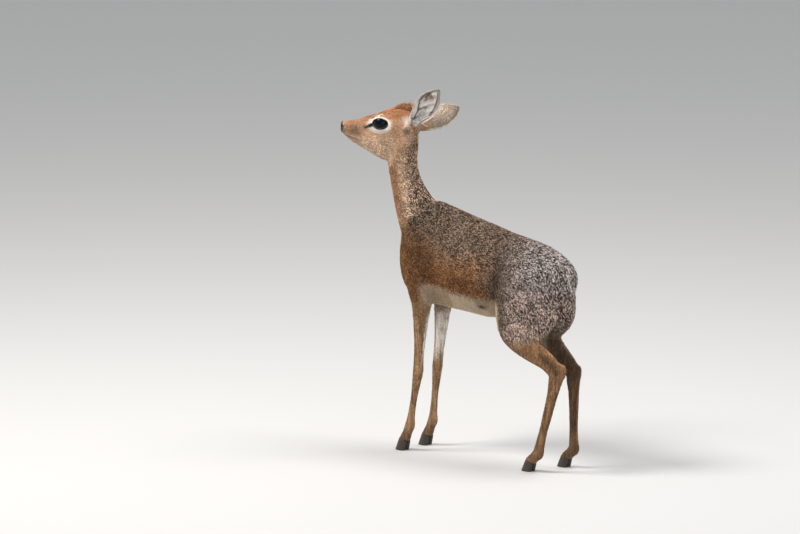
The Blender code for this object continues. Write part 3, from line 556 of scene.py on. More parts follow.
def markings(points, normals):
    # in ramp and fall the limits are mm on the body or head, or parts of a normal
    place, face = bodyPlace(points), headPlace(points)
    x, y, z = place.T
    along, aside, up = face.T
    aside = np.abs(aside)
    flat, profile = place[:, [0, 2]], face[:, [0, 2]]
    head, neck, leg = regions(points)
    inward, forward = -normals[:, 1] * np.sign(y), normals[:, 0]
    colour = np.tile(coatColours["back"], (len(points), 1))
    ticking = np.full(len(points), 0.85)
    lay = painter(coatColours, colour, ticking)

    lay("rump", ramp(-x, 70, 175) * (1 - neck), 1.0)
    lay("haunch", ramp(-x, 95, 135) * fall(z, 262, 320), 1.0)
    lay("withers", ramp(x, 5, 60) * ramp(z, 340, 385) * (1 - head), 1.0)
    # rusty flank and shoulder, with the ticking fading out towards the chest
    flankEdge = edgeLine("flank", x)
    lay("flank", fall(z, flankEdge - 40, flankEdge + 16) * ramp(x, -104, -66) * (1 - neck) * 0.95, 0.55)
    for name, middle, sizes, share, speckle in flankPatches:
        lay(name, blob(flat, middle, sizes) * share * (1 - neck) * (1 - head), speckle)
    lay("chest", ramp(x, 92, 128) * fall(z, 372, 402) * (1 - leg) * 0.9, 0.25)
    lay("chest", ramp(x, 40, 66) * fall(z, 262, 296) * 0.7, 0.25)
    # neck: rusty front, ticked nape
    inFront = neckShift(place)
    pastNape = inFront - edgeLine("nape", z)
    lay("nape", neck, 0.95)
    lay("neckSide", neck * ramp(pastNape, -5, 5), 0.4)
    lay("neckFront", neck * ramp(pastNape, 8, 22), 0.3)
    lay("throat", neck * ramp(inFront, 14, 26) * 0.6, 0.0)
    lay("neckFront", ramp(inFront, 0, 26) * ramp(z, 350, 392) * (1 - neck) * (1 - head) * 0.85, 0.2)
    # legs
    hind = ramp(-x, 20, 60)
    thighEdge = edgeLine("thigh", x)
    foreTone = fall(z, 232, 262) * fall(np.abs(x - 78), 21, 32) * ramp(np.abs(y), 14, 19)
    foreTone = np.maximum(foreTone, fall(z, 222, 232)) * (1 - hind)
    lay("thighLow", blob(flat, (-146, 224), (28, 19)) * hind * ramp(-inward, -0.2, 0.4), 0.6)
    lay("leg", foreTone, 0.24)
    lay("hindLeg", hind * ramp(-x, 80, 88) * fall(z, thighEdge - 12, thighEdge + 10), 0.24)
    thighFront = ramp(forward, -0.05, 0.65) * hind * ramp(-x, 78, 90) * fall(z, 262, 300)
    lay("thighFront", thighFront * fall(inward, 0.2, 0.6) * 0.9, 0.25)
    # painted shade on the legs: towards their fronts, down the backs and inner faces of the hind legs, and
    # along a groove down each hind cannon
    lay("legDark", leg * ramp(forward, 0.35, 0.85) * 0.6 * fall(z, 170, 235))
    lay("legDark", leg * hind * ramp(-forward, 0.3, 0.9) * 0.55 * fall(z, 120, 160))
    lay("legDark", leg * hind * ramp(inward, 0.1, 0.6) * 0.7 * fall(z, 150, 190))
    for hand, hock, fetlock in ((1, (-200, 156), (-168, 40)), (-1, (-188, 146), (-188, 40))):
        outer = ramp(-inward, 0.2, 0.7) * (y * hand > 0)
        lay("legDark", bell(nearSegment(flat, hock, fetlock), 2.6) * outer * leg * 0.6)
    lay("pastern", fall(z, 22, 52) * 0.75)
    lay("innerLeg", ramp(inward - 0.95 * forward, 0.3, 0.7) * ramp(z, 132, 180) * leg * (1 - hind) * 0.9, 0.0)
    # the inner faces of the hind legs: brown-grey hair, darkened further with painted shade
    lay("innerHind", ramp(inward, 0.0, 0.5) * hind * leg * ramp(z, 120, 170) * 0.9, 0.35)
    groin = ramp(z, 196, 226) * fall(z, 262, 290) * hind * ramp(x, -150, -112)
    lay("innerLeg", ramp(inward, 0.1, 0.6) * groin, 0.0)
    # belly, with a small painted shade in a fold on its near side
    under = ramp(273 + 0.10 * x - z, -7, 9) * ramp(-normals[:, 2], -0.50, -0.05)
    under *= fall(x, 56, 76) * ramp(x, -150, -112) * (1 - foreTone)
    under *= 1 - ramp(-x, 92, 100) * ramp(np.abs(y), 34, 44)
    lay("belly", under, 0.06)
    lay("bellyShade", under * ramp(softNoise(points, 26.0), 0.5, 0.8) * 0.7, 0.1)
    lay("fold", blob(place, (-49, 34, 254), (7, 8, 2.4)), 0.0)
    # the pale cord of each hock and painted shade in the recess in front of it
    for hand, shift in ((1, (0, 0)), (-1, (13, -10))):
        own = flat - np.array(shift)
        lay("legDark", bell(nearSegment(own, (-208, 166), (-177, 190)), 6.5) * (y * hand > 0) * 0.85)
        lay("thighLow", bell(nearSegment(own, (-221, 180), (-182, 209)), 3.6) * (y * hand > 0) * 0.85, 0.1)
    # tail
    lay("rump", ramp(-x, 199, 205) * ramp(z, 276, 290), 1.0)
    lay("tailEdge", fall(pathGap(mirrored(place), tailEdgePath), 0.8, 2.8) * 0.9, 0.1)
    # head
    rise = normals @ headUp
    lay("face", head, 0.26)
    lay("bridge", head * ramp(rise, 0.20, 0.8) * ramp(along, 2, 34), 0.25)
    lay("bridge", head * blob(profile, (78, 1), (17, 8)) * 0.45, 0.3)
    lay("crown", head * ramp(rise, 0.1, 0.6) * fall(along, 26, 46) * ramp(up, 8, 20), 0.2)
    lay("cheek", head * ramp(-up, 4, 28) * fall(along, 84, 108), 0.32)
    lay("bridge", head * blob(profile, (18, -14), (12, 16)) * 0.5)
    lay("jaw", head * ramp(-rise, 0.45, 0.9) * ramp(along, 30, 52), 0.0)
    lay("nape", head * ramp(-(normals @ headAlong), 0.30, 0.85) * fall(along, -6, 6) * ramp(-up, -14, 8), 0.8)
    lay("neckFront", head * fall(along, 20, 44) * ramp(-up, 14, 36) * 0.7, 0.2)
    muzzle = (0.9 - 0.5 * ramp(rise, 0.35, 0.8)) * (1 - 0.6 * ramp(-up, 9, 18))
    lay("muzzle", head * ramp(along, 72, 92) * muzzle, 0.4)
    lay("underEar", head * blob(profile, (7.5, -3), (5.2, 7.0)) * ramp(aside, 8, 14) * 0.95, 0.5)
    lay("earPatch", head * blob(profile, (7.5, 13), (4.8, 7.0)) * ramp(aside, 8, 14), 0.0)
    # painted shade in the crease at the ear's root
    lay("fold", head * blob(profile, (-2.0, 9.5), (2.6, 5.0)) * ramp(aside, 12, 16) * 0.9, 0.0)
    # the pale ring of the eye, its dark lids and the streak from its front corner
    ring = np.linalg.norm((profile - np.array(eyeRing["middle"])) / np.array(eyeRing["sizes"]), axis=1)
    brow = edgeLine("brow", along)
    lay("ring", fall(ring, *eyeRing["edge"]) * head * ramp(aside, brow - 2.5, brow + 1.5), 0.0)
    outside = ramp(aside, 9, 13) * head
    lay("black", fall(lidReach(face, 0.9, 0.1), 0.96, 1.08) * outside, 0.0)
    lay("black", fall(nearSegment(profile, (59, 6.0), (68, 3.2)), 2.2, 3.6) * outside, 0.0)
    streak = nearSegment(profile, (66, 3.4), (76.5, -0.6))
    lay("black", fall(streak, 1.3, 2.6) * outside, 0.0)
    lay("underEar", fall(streak, 2.5, 7.5) * ramp(along, 66, 76) * outside * 0.45)
    # nose with painted shade in its nostrils and middle groove, and the line of the lips
    leather = edgeLine("leather", up)
    bare = head * ramp(along, leather - 1.0, leather + 1.0) * ramp(up, -13.5, -12)
    lay("nose", bare, 0.0)
    # painted shade inside the nostrils and down the middle groove of the nose
    lay("black", head * bell(nostrilGap(face), 1.5), 0.0)
    lay("black", bare * fall(aside, 0.4, 1.3) * fall(up, -8, -5) * 0.8, 0.0)
    lay("nose", head * bell(up - edgeLine("lips", along), 1.2) * ramp(along, 86, 94) * 0.75, 0.0)
    streaky = 1.1 * leg * (softNoise(points, 1.7, (1, 1, 14)) - 0.5) + 0.12 * (softNoise(points, 9.0) - 0.5)
    colour *= 1 + streaky[:, None]
    return colour, ticking, bare


# ears, measured along their own axis, as the solids have them

ears = {
    "ear_left": {"hand": 1, "root": (-1, 20, 7), "aim": (-50, 19, 61), "face": (0.02, 1.0, 0.0)},
    "ear_right": {"hand": -1, "root": (-1, 20, -4), "aim": (-55, 43, 26), "face": (0.2, 0.9, -0.3)},
}
earLength = 82.0
earColours = swatches({
    "rim": (244, 234, 214), "margin": (178, 166, 160), "line": (56, 42, 36), "inner": (236, 226, 218),
    "brown": (134, 94, 78), "white": (254, 250, 245), "slit": (36, 27, 25), "back": (178, 159, 139),
    "backTip": (112, 92, 76), "backRoot": (186, 146, 112),
})
earCup = {
    # lines bound the cup as parts of its width by level, bands run from place to place with a half width
    "frontLine": ((4, 0.62), (12, 0.48), (20, 0.48), (30, 0.68), (38, 0.80), (50, 0.82), (60, 0.80),
                  (70, 0.56), (76, 0.2)),
    "rearLine": ((14, 0.88), (25, 0.80), (38, 0.69), (49, 0.56), (60, 0.42), (69, 0.15), (74, 0.0)),
    "whiteBands": (((30, -9), (56, 7), 3.2), ((26, 2), (46, 10), 3.0), ((12, 2), (30, 11), 3.6),
                   ((16, -3), (26, 1), 2.6), ((64, -5), (70, 3), 2.4), ((24, -12), (40, -14), 2.2)),
    "darkBands": (((4, 0), (13, -5), 1.8), ((13, -6), (28, -8), 1.9), ((37, -14), (28, -7), 2.4),
                  ((27, -6), (48, 4), 1.9), ((24, 6), (38, 12), 1.2), ((18, 0), (28, 5), 1.1),
                  ((50, -11), (62, -9), 1.8), ((62, -9), (66, -1), 1.3)),
    "brownPatches": (((57, -4), (7.5, 5.5)), ((35, 1), (4.0, 2.6)), ((46, -8), (6.0, 3.0)),
                     ((50, 4), (5.0, 3.0))),
    "slit": ((4.0, -2.5), (6.0, 2.4)), "lineWidth": 0.07, "marginWidth": 0.08,
}


def earFrame(ear):
    root = headPoint(ear["root"], ear["hand"])
    axis = unit(headVector(ear["aim"], ear["hand"]))
    face = headVector(ear["face"], ear["hand"])
    face = unit(face - axis * (face @ axis))
    return root, axis, face, unit(np.cross(axis, face))


def earPlace(points, ear):
    # mm from an ear's root along it and across it
    root, axis, _, across = earFrame(ear)
    away = (points - root) / mm
    return away @ axis, away @ across


def nodeTree(name):
    mesh = frame["nodes"][name].data
    corners = [tuple(vertex.co) for vertex in mesh.vertices]
    return BVHTree.FromPolygons(corners, [tuple(face.vertices) for face in mesh.polygons])


def nearness(points, tree, low, high):
    gap = np.full(len(points), float(high))
    for i, point in enumerate(points):
        distance = tree.find_nearest(Vector(point), high)[3]
        if distance is not None:
            gap[i] = distance
    return fall(gap, low, high)


def earMembers(points):
    # the share from 0 to 1 that each point has in each ear
    look = {"margin": 3 * mm, "near": 0.8 * mm, "far": 2.6 * mm, "root": (2, 9)}
    members = {}
    for name, ear in ears.items():
        low, high = (np.array(corner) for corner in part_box(name))
        near = ((points > low - look["margin"]) & (points < high + look["margin"])).all(axis=1)
        share = np.zeros(len(points))
        share[near] = nearness(points[near], earTrees[name], look["near"], look["far"])
        members[name] = share * ramp(earPlace(points, ear)[0], *look["root"])
    return members


earTrees = {name: nodeTree(name) for name in ears}


def earHalfWidth(share):
    shares = (0.0, 0.08, 0.18, 0.32, 0.47, 0.62, 0.75, 0.86, 0.94, 1.0)
    halves = (5.2, 7.8, 11.0, 15.2, 18.0, 17.6, 14.6, 10.0, 5.4, 1.2)
    return np.interp(share, shares, halves)


def layEars(points, normals, members, colour, ticking):
    for name, ear in ears.items():
        lay = painter(earColours, colour, ticking, members[name])
        level, aside = earPlace(points, ear)
        share, sideways = level / earLength, aside * ear["hand"]
        edge = np.abs(aside) / np.maximum(earHalfWidth(share), 1.0)
        inside = ramp(normals @ earFrame(ear)[2], -0.05, 0.30)
        outer = 1 - inside
        cup = np.stack([level, sideways], -1)
        lay("back", outer, 0.35)
        lay("backRoot", outer * fall(share, 0.10, 0.35), 0.1)
        lay("backTip", outer * ramp(share, 0.62, 0.98) * 0.6, 0.5)
        lay("backTip", outer * ramp(edge, 0.72, 0.98) * ramp(share, 0.35, 0.6) * 0.55, 0.4)
        lay("inner", inside, 0.15)
        lay("white", inside * fall(level, 24, 36) * 0.8, 0.0)
        for spot, size in earCup["brownPatches"]:
            lay("brown", inside * blob(cup, spot, size) * 0.95, 0.5)
        for shade, strength, bands in (("line", 0.9, "darkBands"), ("white", 0.95, "whiteBands")):
            for start, end, wide in earCup[bands]:
                lay(shade, inside * bell(nearSegment(cup, start, end), wide) * strength, 0.1)
        bounds = [np.interp(level, *np.array(earCup[line]).T) for line in ("frontLine", "rearLine")]
        past = edge - np.where(sideways < 0, *bounds)
        margin = inside * ramp(past, 0.0, earCup["marginWidth"])
        lay("margin", margin * 0.95, 0.2)
        lay("white", margin * (sideways < 0) * fall(level, 34, 48) * 0.9, 0.0)
        lay("line", inside * bell(past, earCup["lineWidth"]) * ramp(level, 4, 12) * 0.95, 0.0)
        lay("rim", ramp(edge, 0.90, 0.98) * ramp(share, 0.12, 0.24) * 0.95, 0.0)
        # painted shade at the opening at the foot of the ear's cup
        lay("slit", inside * blob(cup, *earCup["slit"]) * 0.95, 0.0)


# the skin: one closed surface over every node of flesh

flesh = [name for name in frame["nodes"] if not name.startswith(("eye_", "hoof_"))]
coatDepth = {"trunk": 1.5, "leg": 0.7, "head": 0.55, "ear": 0.15}


def swollenCopy(name, swell):
    mesh = frame["nodes"][name].data.copy()

    def swellShape(shape):
        bmesh.ops.remove_doubles(shape, verts=shape.verts, dist=weldDistance)
        facesOutward(shape)
        shape.normal_update()
        for vertex in shape.verts:
            vertex.co += vertex.normal * swell

    editMesh(mesh, swellShape)
    points = [tuple(vertex.co) for vertex in mesh.vertices]
    faces = [tuple(face.vertices) for face in mesh.polygons]
    bpy.data.meshes.remove(mesh)
    return points, faces


def relaxed(points, edges, pulls):
    # by each pull in turn every point moves towards the mean of its neighbours, or away if below 0
    first, second = edges.T
    size = len(points)
    count = np.bincount(first, minlength=size) + np.bincount(second, minlength=size)
    for pull in pulls:
        total = [np.bincount(first, line[second], size) + np.bincount(second, line[first], size)
                 for line in points.T]
        points = points + (np.stack(total, -1) / count[:, None] - points) * pull
    return points


def softened(points, edges, share, rounds):
    # the same pull alone, only where the share says so
    zone = share > 0.02
    inside = edges[zone[edges[:, 0]] & zone[edges[:, 1]]]
    used, inside = np.unique(inside, return_inverse=True)
    part = points[used]
    for _ in range(rounds):
        pulled = relaxed(part, inside.reshape(-1, 2), (0.5,))
        part = part + (pulled - part) * share[used, None]
    points = points.copy()
    points[used] = part
    return points


def keepLargest(shape):
    # drops the small closed surfaces that the voxels leave inside
    seen, parts = set(), []
    for start in shape.verts:
        if start in seen:
            continue
        stack, part = [start], []
        seen.add(start)
        while stack:
            here = stack.pop()
            part.append(here)
            for edge in here.link_edges:
                there = edge.other_vert(here)
                if there not in seen:
                    seen.add(there)
                    stack.append(there)
        parts.append(part)
    parts.sort(key=len)
    for part in parts[:-1]:
        bmesh.ops.delete(shape, geom=part, context="VERTS")


def insetDepth(points, members):
    head, _, leg = regions(points)
    depth = coatDepth["trunk"] * (1 - head) * (1 - leg) + coatDepth["leg"] * leg * (1 - head)
    depth = depth + coatDepth["head"] * head
    for member in members.values():
        depth = depth * (1 - member) + coatDepth["ear"] * member
    depth *= 1 - head * ramp(headPlace(points)[:, 0], 110, 114)
    return depth * ramp(bodyPlace(points)[:, 2], 18, 34)


def makeSkin():
    look = {"voxel": 0.9, "swell": 0.35, "pulls": (0.5, -0.48) * 7, "softRounds": 40, "kept": 0.42,
            "nostrilDepth": 1.5, "nostrilWidth": 1.7, "jaw": ((27, 20, -44), (16, 16, 17))}
    points, faces = [], []
    for name in flesh:
        more, around = swollenCopy(name, look["swell"] * mm)
        faces += [tuple(i + len(points) for i in face) for face in around]
        points += more
    skin = makePiece("coatedSkin", points, faces, skinMaterial)
    remesh = skin.modifiers.new("oneSurface", "REMESH")
    remesh.mode = "VOXEL"
    remesh.voxel_size = look["voxel"] * mm
    settle(skin)
    shape = readPoints(skin.data)
    edges = readArray(skin.data.edges, "vertices", 2, np.int32)
    shape = relaxed(shape, edges, look["pulls"])
    jaw = blob(mirrored(headPlace(shape)), *look["jaw"])
    writePoints(skin.data, softened(shape, edges, jaw, look["softRounds"]))
    thin = skin.modifiers.new("fewerFaces", "DECIMATE")
    thin.ratio = look["kept"]
    settle(skin)
    editMesh(skin.data, keepLargest)
    shape, normals = readPoints(skin.data), readNormals(skin.data)
    nostrils = bell(nostrilGap(headPlace(shape)), look["nostrilWidth"])
    depth = insetDepth(shape, earMembers(shape)) + look["swell"] + look["nostrilDepth"] * nostrils
    writePoints(skin.data, shape - normals * depth[:, None] * mm)
    skin.data.shade_smooth()
    print("skin:", len(skin.data.polygons), "faces")
    return skin


skin = makeSkin()
skinPoints, skinNormals = readPoints(skin.data), readNormals(skin.data)
skinEars = earMembers(skinPoints)
skinColour, skinTicking, skinBare = markings(skinPoints, skinNormals)
layEars(skinPoints, skinNormals, skinEars, skinColour, skinTicking)
for layerName, values in (("markings", skinColour), ("ticking", skinTicking), ("bareSkin", skinBare)):
    paintPoints(skin.data, layerName, values)
print("skin marked")


# the lie of the coat and its tufts

def turned(vectors, normals):
    return unit(vectors - normals * (vectors * normals).sum(axis=1)[:, None])


def lieOfCoat(points, normals, members):
    place, face = bodyPlace(points), headPlace(points)
    x, _, z = place.T
    along, aside, up = face.T
    head, neck, leg = regions(points)
    flat, full = np.zeros(len(points)), np.ones(len(points))
    down = 0.20 + 0.9 * ramp(340 - z, 0, 70) + 2.2 * ramp(-x, 165, 205)
    down = down + 1.4 * ramp(x, 70, 120) * ramp(350 - z, -20, 40)
    lie = unit(np.stack([-full + 0.9 * ramp(x, 105, 135), flat, -down], -1))
    lie += (np.array((0.0, 0.0, -1.0)) - lie) * leg[:, None]
    neckLie = np.stack([-0.62 + 0.45 * ramp(neckShift(place), -10, 18), flat, -0.80 * full], -1)
    lie += (neckLie - lie) * neck[:, None]
    drop = 0.10 + 0.45 * ramp(-up, -4, 22) * fall(along, 70, 100) + 0.6 * ramp(20 - along, 0, 28)
    outward = np.sign(aside) * 0.12 * ramp(up, 6, 16)
    headLie = headUp * -drop[:, None] - headAlong + headSide * outward[:, None]
    lie += (headLie - lie) * head[:, None]
    for name, ear in ears.items():
        _, axis, _, across = earFrame(ear)
        earLie = axis + across * (earPlace(points, ear)[1][:, None] * 0.018)
        lie += (earLie - lie) * members[name][:, None]
    wander = 0.10 * np.sin(points @ np.array((61.0, 37.0, 83.0)))
    wander = wander + 0.08 * np.sin(points @ np.array((-143.0, 97.0, 119.0)))
    lie = turned(lie, normals)
    return turned(lie + np.cross(normals, lie) * wander[:, None], normals)


coats = {
    # sizes in mm, before each tuft's own chance shares of them
    "trunk": {"region": "trunk", "spacing": 1.45, "length": 5.0, "width": 0.92, "rise": 1.5, "sunk": 0.5},
    "neck": {"region": "neck", "spacing": 1.15, "length": 4.2, "width": 0.85, "rise": 1.1, "sunk": 0.4},
    "legs": {"region": "legs", "spacing": 1.7, "length": 4.6, "width": 0.7, "rise": 0.6, "sunk": 0.3},
    "head": {"region": "head", "spacing": 1.2, "length": 3.4, "width": 0.58, "rise": 0.5, "sunk": 0.25},
    "ears": {"region": "ears", "spacing": 1.2, "length": 3.0, "width": 0.5, "rise": 0.45, "sunk": 0.15},
    "earHair": {"region": "ears", "spacing": 2.0, "length": 10.5, "width": 0.85, "rise": 2.2, "sunk": 0.2,
                "droop": 0.25, "sweep": 0.55, "tint": swatch(254, 250, 245), "tinted": (0.1, 0.9)},
    "crest": {"region": "head", "spacing": 2.0, "length": 8.5, "width": 0.8, "rise": 3.6, "sunk": 0.5,
              "droop": 0.1, "tint": swatch(170, 114, 72), "tinted": (0.0, 0.9)},
}
tuft = {
    "tries": 2.6, "cell": 1.08, "leastCover": 0.12, "mostBare": 0.3, "fleckSize": 1.1, "fleckShare": 0.7,
    "spread": 0.16, "lengths": (0.65, 1.2), "widths": (0.7, 1.25), "rises": (0.45, 1.25), "patchSize": 0.003,
    # for each of the seven corners: how far along the tuft it is, and where on its patch of the map
    "along": (0, 0, 0.1, 0.5, 0.5, 0.55, 1.0),
    "patch": ((-0.5, -0.5), (0.5, -0.5), (0, -0.5), (-0.5, 0.1), (0.5, 0.1), (0, 0.1), (0, 0.5)),
    "faces": ((0, 2, 3), (3, 2, 5), (2, 1, 5), (5, 1, 4), (1, 0, 4), (4, 0, 3), (0, 1, 2), (3, 5, 6),
              (5, 4, 6), (4, 3, 6)),
}
skin.data.calc_loop_triangles()
skinTriangles = readArray(skin.data.loop_triangles, "vertices", 3, np.int32)
skinTree = BVHTree.FromPolygons(skinPoints.tolist(), skinTriangles.tolist())


def scatter(chosen, spacing):
    corners = skinTriangles[chosen]
    a, b, c = (skinPoints[corners[:, k]] for k in range(3))
    area = 0.5 * np.linalg.norm(np.cross(b - a, c - a), axis=1)
    wanted = int(area.sum() / (spacing * mm) ** 2 * tuft["tries"])
    picked = chance.choice(len(corners), wanted, p=area / area.sum())
    u, v = chance.random(wanted), chance.random(wanted)
    flip = u + v > 1
    u[flip], v[flip] = 1 - u[flip], 1 - v[flip]
    weights = np.stack([1 - u - v, u, v], -1)
    tri = corners[picked]
    spots = (skinPoints[tri] * weights[:, :, None]).sum(axis=1)
    # one tuft in each cell
    cells = np.floor(spots / (spacing * mm * tuft["cell"])).astype(int)
    first = chance.permutation(np.unique(cells, axis=0, return_index=True)[1])
    tri, weights, spots = tri[first], weights[first], spots[first]
    ways = unit((skinNormals[tri] * weights[:, :, None]).sum(axis=1))
    return spots, ways, tri, weights


def onSkin(points, lift):
    out = np.empty_like(points)
    for i, point in enumerate(points):
        spot, normal, _, _ = skinTree.find_nearest(Vector(point))
        out[i] = np.array(spot) + np.array(normal) * lift[i]
    return out


def furCover(points):
    # full length is 1; the coat shortens towards hooves, nose, lids and lips
    place, face = bodyPlace(points), headPlace(points)
    head, _, leg = regions(points)
    cover = 1 - leg * fall(place[:, 2], 30, 120) * 0.35
    cover *= ramp(place[:, 2], 14, 26)
    cover *= 1 - head * ramp(face[:, 0], 60, 100) * 0.45
    cover *= 1 - head * ramp(face[:, 0], 106, 112)
    cover *= 1 - head * fall(lidReach(face, 1.2, -0.6), 1.0, 1.5) * ramp(np.abs(face[:, 1]), 8, 12)
    return np.clip(cover, 0, 1.2)


def islandPlace(points, normals, region):
    # where on the map a tuft's patch lies: each region unrolled into its own rectangle
    place, face = bodyPlace(points), headPlace(points)
    x, y, z = place.T

    def unrolled(share, sideways, upwards):
        return np.stack([share, 0.5 + np.arctan2(sideways, upwards) / (2 * math.pi)], -1)

    if region == "trunk":
        spot = unrolled((x + 225) / 390, y, z - 320)
        corner, size = (0.02, 0.56), (0.96, 0.42)
    elif region == "neck":
        spot = unrolled((z - 340) / 170, y, neckShift(place))
        corner, size = (0.52, 0.30), (0.30, 0.23)
    elif region == "head":
        spot = unrolled((face[:, 0] + 30) / 160, face[:, 1], face[:, 2] + 6)
        corner, size = (0.02, 0.30), (0.48, 0.23)
    elif region == "legs":
        hind, left = x < -20, y > 0
        hindMiddle = -185 + np.interp(z, (30, 160, 250), (17, -14, 72))
        middle = np.where(hind, hindMiddle, np.interp(z, (30, 130, 250), (106, 88, 78)))
        spot = unrolled(z / 250, np.abs(y) - 30, x - middle)
        spot[:, 1] = (spot[:, 1] + 2 * hind + left) / 4
        corner, size = (0.02, 0.02), (0.62, 0.25)
    else:
        spot = np.full((len(points), 2), 0.5)
        for k, ear in enumerate(ears.values()):
            root, axis, faceWay, _ = earFrame(ear)
            near = np.linalg.norm(points - root - axis * earLength * mm / 2, axis=1) < 62 * mm
            level, aside = earPlace(points, ear)
            back = normals @ faceWay < 0
            spot[near] = np.stack([level / 180 + 0.5 * back, (aside / 44 + 0.5 + k) / 2], -1)[near]
        corner, size = (0.68, 0.02), (0.30, 0.25)
    return np.array(corner) + np.clip(spot, 0, 1) * np.array(size)


def growCoat(name, kind, chosen):
    look = coats[kind]
    spots, ways, tri, weights = scatter(chosen, look["spacing"])
    members = {key: (value[tri] * weights).sum(axis=1) for key, value in skinEars.items()}
    colour, ticking, bare = markings(spots, ways)
    layEars(spots, ways, members, colour, ticking)
    cover = furCover(spots)
    kept = (bare < tuft["mostBare"]) & (cover > tuft["leastCover"])
    spots, ways, colour, ticking, cover = spots[kept], ways[kept], colour[kept], ticking[kept], cover[kept]
    members = {key: value[kept] for key, value in members.items()}
    count = len(spots)
    if "tint" in look:
        colour += (look["tint"] - colour) * chance.uniform(*look["tinted"], count)[:, None]
        ticking *= 0.5
    fleck = ramp(softNoise(spots, tuft["fleckSize"]), 0.25, 0.75)
    strand = tuft["fleckShare"] * fleck + (1 - tuft["fleckShare"]) * chance.random(count)
    lie = lieOfCoat(spots, ways, members)
    for key, ear in ears.items():
        lie = lie + earFrame(ear)[3] * (members[key] * ear["hand"] * look.get("sweep", 0))[:, None]
    spread = chance.normal(0, tuft["spread"], count)
    lie = turned(lie + np.cross(ways, lie) * spread[:, None], ways)
    length = look["length"] * cover * chance.uniform(*tuft["lengths"], count) * mm
    width = look["width"] * np.sqrt(cover) * chance.uniform(*tuft["widths"], count) * mm
    rise = look["rise"] * cover * chance.uniform(*tuft["rises"], count) * mm
    middle, tip = spots + lie * (length * 0.5)[:, None], spots + lie * length[:, None]
    if "droop" in look:
        middle, tip = middle + ways * rise[:, None] * 0.8, tip + ways * rise[:, None] * (1 - look["droop"])
    else:
        middle, tip = onSkin(middle, rise * 0.75), onSkin(tip, rise * 0.8)
    root = spots - ways * look["sunk"] * mm
    half = (width * 0.5)[:, None]
    across, above = unit(np.cross(ways, lie)) * half, ways * half
    corners = (root - across * 0.8, root + across * 0.8, root + above * 1.2,
               middle - across, middle + across, middle + above * 0.9, tip)
    points = np.stack(corners, axis=1).reshape(-1, 3)
    joints = len(corners)
    faces = (np.array(tuft["faces"])[None] + joints * np.arange(count)[:, None, None]).reshape(-1, 3)
    mesh = bpy.data.meshes.new(name)
    mesh.from_pydata(points.tolist(), [], faces.tolist())
    mesh.validate()
    mesh.shade_smooth()
    for layerName, values in (("markings", colour), ("ticking", ticking), ("strand", strand)):
        paintPoints(mesh, layerName, np.repeat(values, joints, axis=0))
    paintPoints(mesh, "along", np.tile(tuft["along"], count))
    patch = np.array(tuft["patch"]) * tuft["patchSize"]
    laid = (islandPlace(spots, ways, look["region"])[:, None] + patch[None]).reshape(-1, 2)
    layer = mesh.uv_layers.new(name="OFBake")
    layer.uv.foreach_set("vector", laid[faces.ravel()].astype(np.float32).ravel())
    mesh.materials.append(coatMaterial)
    piece = addObject(name, mesh)
    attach(piece, "root")
    print("coat", name, count, "tufts,", len(faces), "triangles")


# where one piece ends and the next begins, in mm along the body or the head
trunkCuts = (-1000, -105, -15, 65, 1000)
legCut, faceCut = -20, 34
cupHair = {"facing": 0.2, "edge": 0.85, "from": 0.06, "to": 0.31, "aside": -3}
crest = {"middle": (12, 0, 32), "half": (17, 11, 9)}
centres = skinPoints[skinTriangles].mean(axis=1)
lengthwise, headwise = bodyPlace(centres)[:, 0], headPlace(centres)
headShare, neckShare, legShare = regions(centres)
earShares = {name: skinEars[name][skinTriangles].mean(axis=1) for name in ears}
onEar = np.maximum(*earShares.values()) > 0.5
onHead = ~onEar & (headShare > 0.5)
onLeg = ~onEar & (legShare > 0.5)
onNeck = ~onEar & ~onHead & ~onLeg & (neckShare > 0.5)
onTrunk = ~onEar & ~onHead & ~onLeg & ~onNeck
earWays = skinNormals[skinTriangles].mean(axis=1)
hairy = np.zeros(len(centres), bool)
for name, ear in ears.items():
    level, aside = earPlace(centres, ear)
    share = level / earLength
    inCup = (earShares[name] > 0.5) & (earWays @ earFrame(ear)[2] > cupHair["facing"])
    inCup &= np.abs(aside) < earHalfWidth(share) * cupHair["edge"]
    inCup &= aside * ear["hand"] > cupHair["aside"]
    hairy |= inCup & (share > cupHair["from"]) & (share < cupHair["to"])
crowned = onHead & (np.abs(headwise - np.array(crest["middle"])) < np.array(crest["half"])).all(axis=1)
trunkNames = ("coatRump", "coatLoin", "coatRibs", "coatShoulder")
trunkAreas = [(name, "trunk", onTrunk & (lengthwise >= back) & (lengthwise < front), "torso")
              for name, back, front in zip(trunkNames, trunkCuts, trunkCuts[1:])]
otherAreas = (
    # name, coat, triangles of the skin and slot
    ("coatNeck", "neck", onNeck, "neck"),
    ("coatForelegs", "legs", onLeg & (lengthwise > legCut), "foreleg_left_forearm"),
    ("coatHindlegs", "legs", onLeg & (lengthwise <= legCut), "hindleg_left_thigh"),
    ("coatFace", "head", onHead & (headwise[:, 0] > faceCut), "head"),
    ("coatCrown", "head", onHead & (headwise[:, 0] <= faceCut), "head"),
    ("coatEars", "ears", onEar, "ear_left"),
    ("earHair", "earHair", hairy, "ear_left"),
    ("crestHair", "crest", crowned, "head"),
)
for areaName, kind, chosen, slotName in (*trunkAreas, *otherAreas):
    growCoat(areaName, kind, np.flatnonzero(chosen))

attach(skin, "root")
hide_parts(*flesh)


# eyes: a ball with its pupil and iris marked, and the dark rims of the lids

def eyeFrame(hand):
    centre = headPoint(eye["place"], hand)
    axis = unit(headVector(eye["aim"], hand))
    forward = unit(headAlong - axis * (headAlong @ axis))
    upward = unit(headUp - axis * (headUp @ axis) - forward * (headUp @ forward))
    return centre, axis, forward, upward


def nameOf(piece, hand):
    return piece + ("Left" if hand > 0 else "Right")


def ringFaces(rows, around, closed=False):
    # the sides of a tube of rows, which is joined end to end if closed
    faces = []
    for i in range(rows if closed else rows - 1):
        for k in range(around):
            a, b = i * around + k, i * around + (k + 1) % around
            step = around if i < rows - 1 else around - rows * around
            faces.append((a, b, b + step, a + step))
    return faces


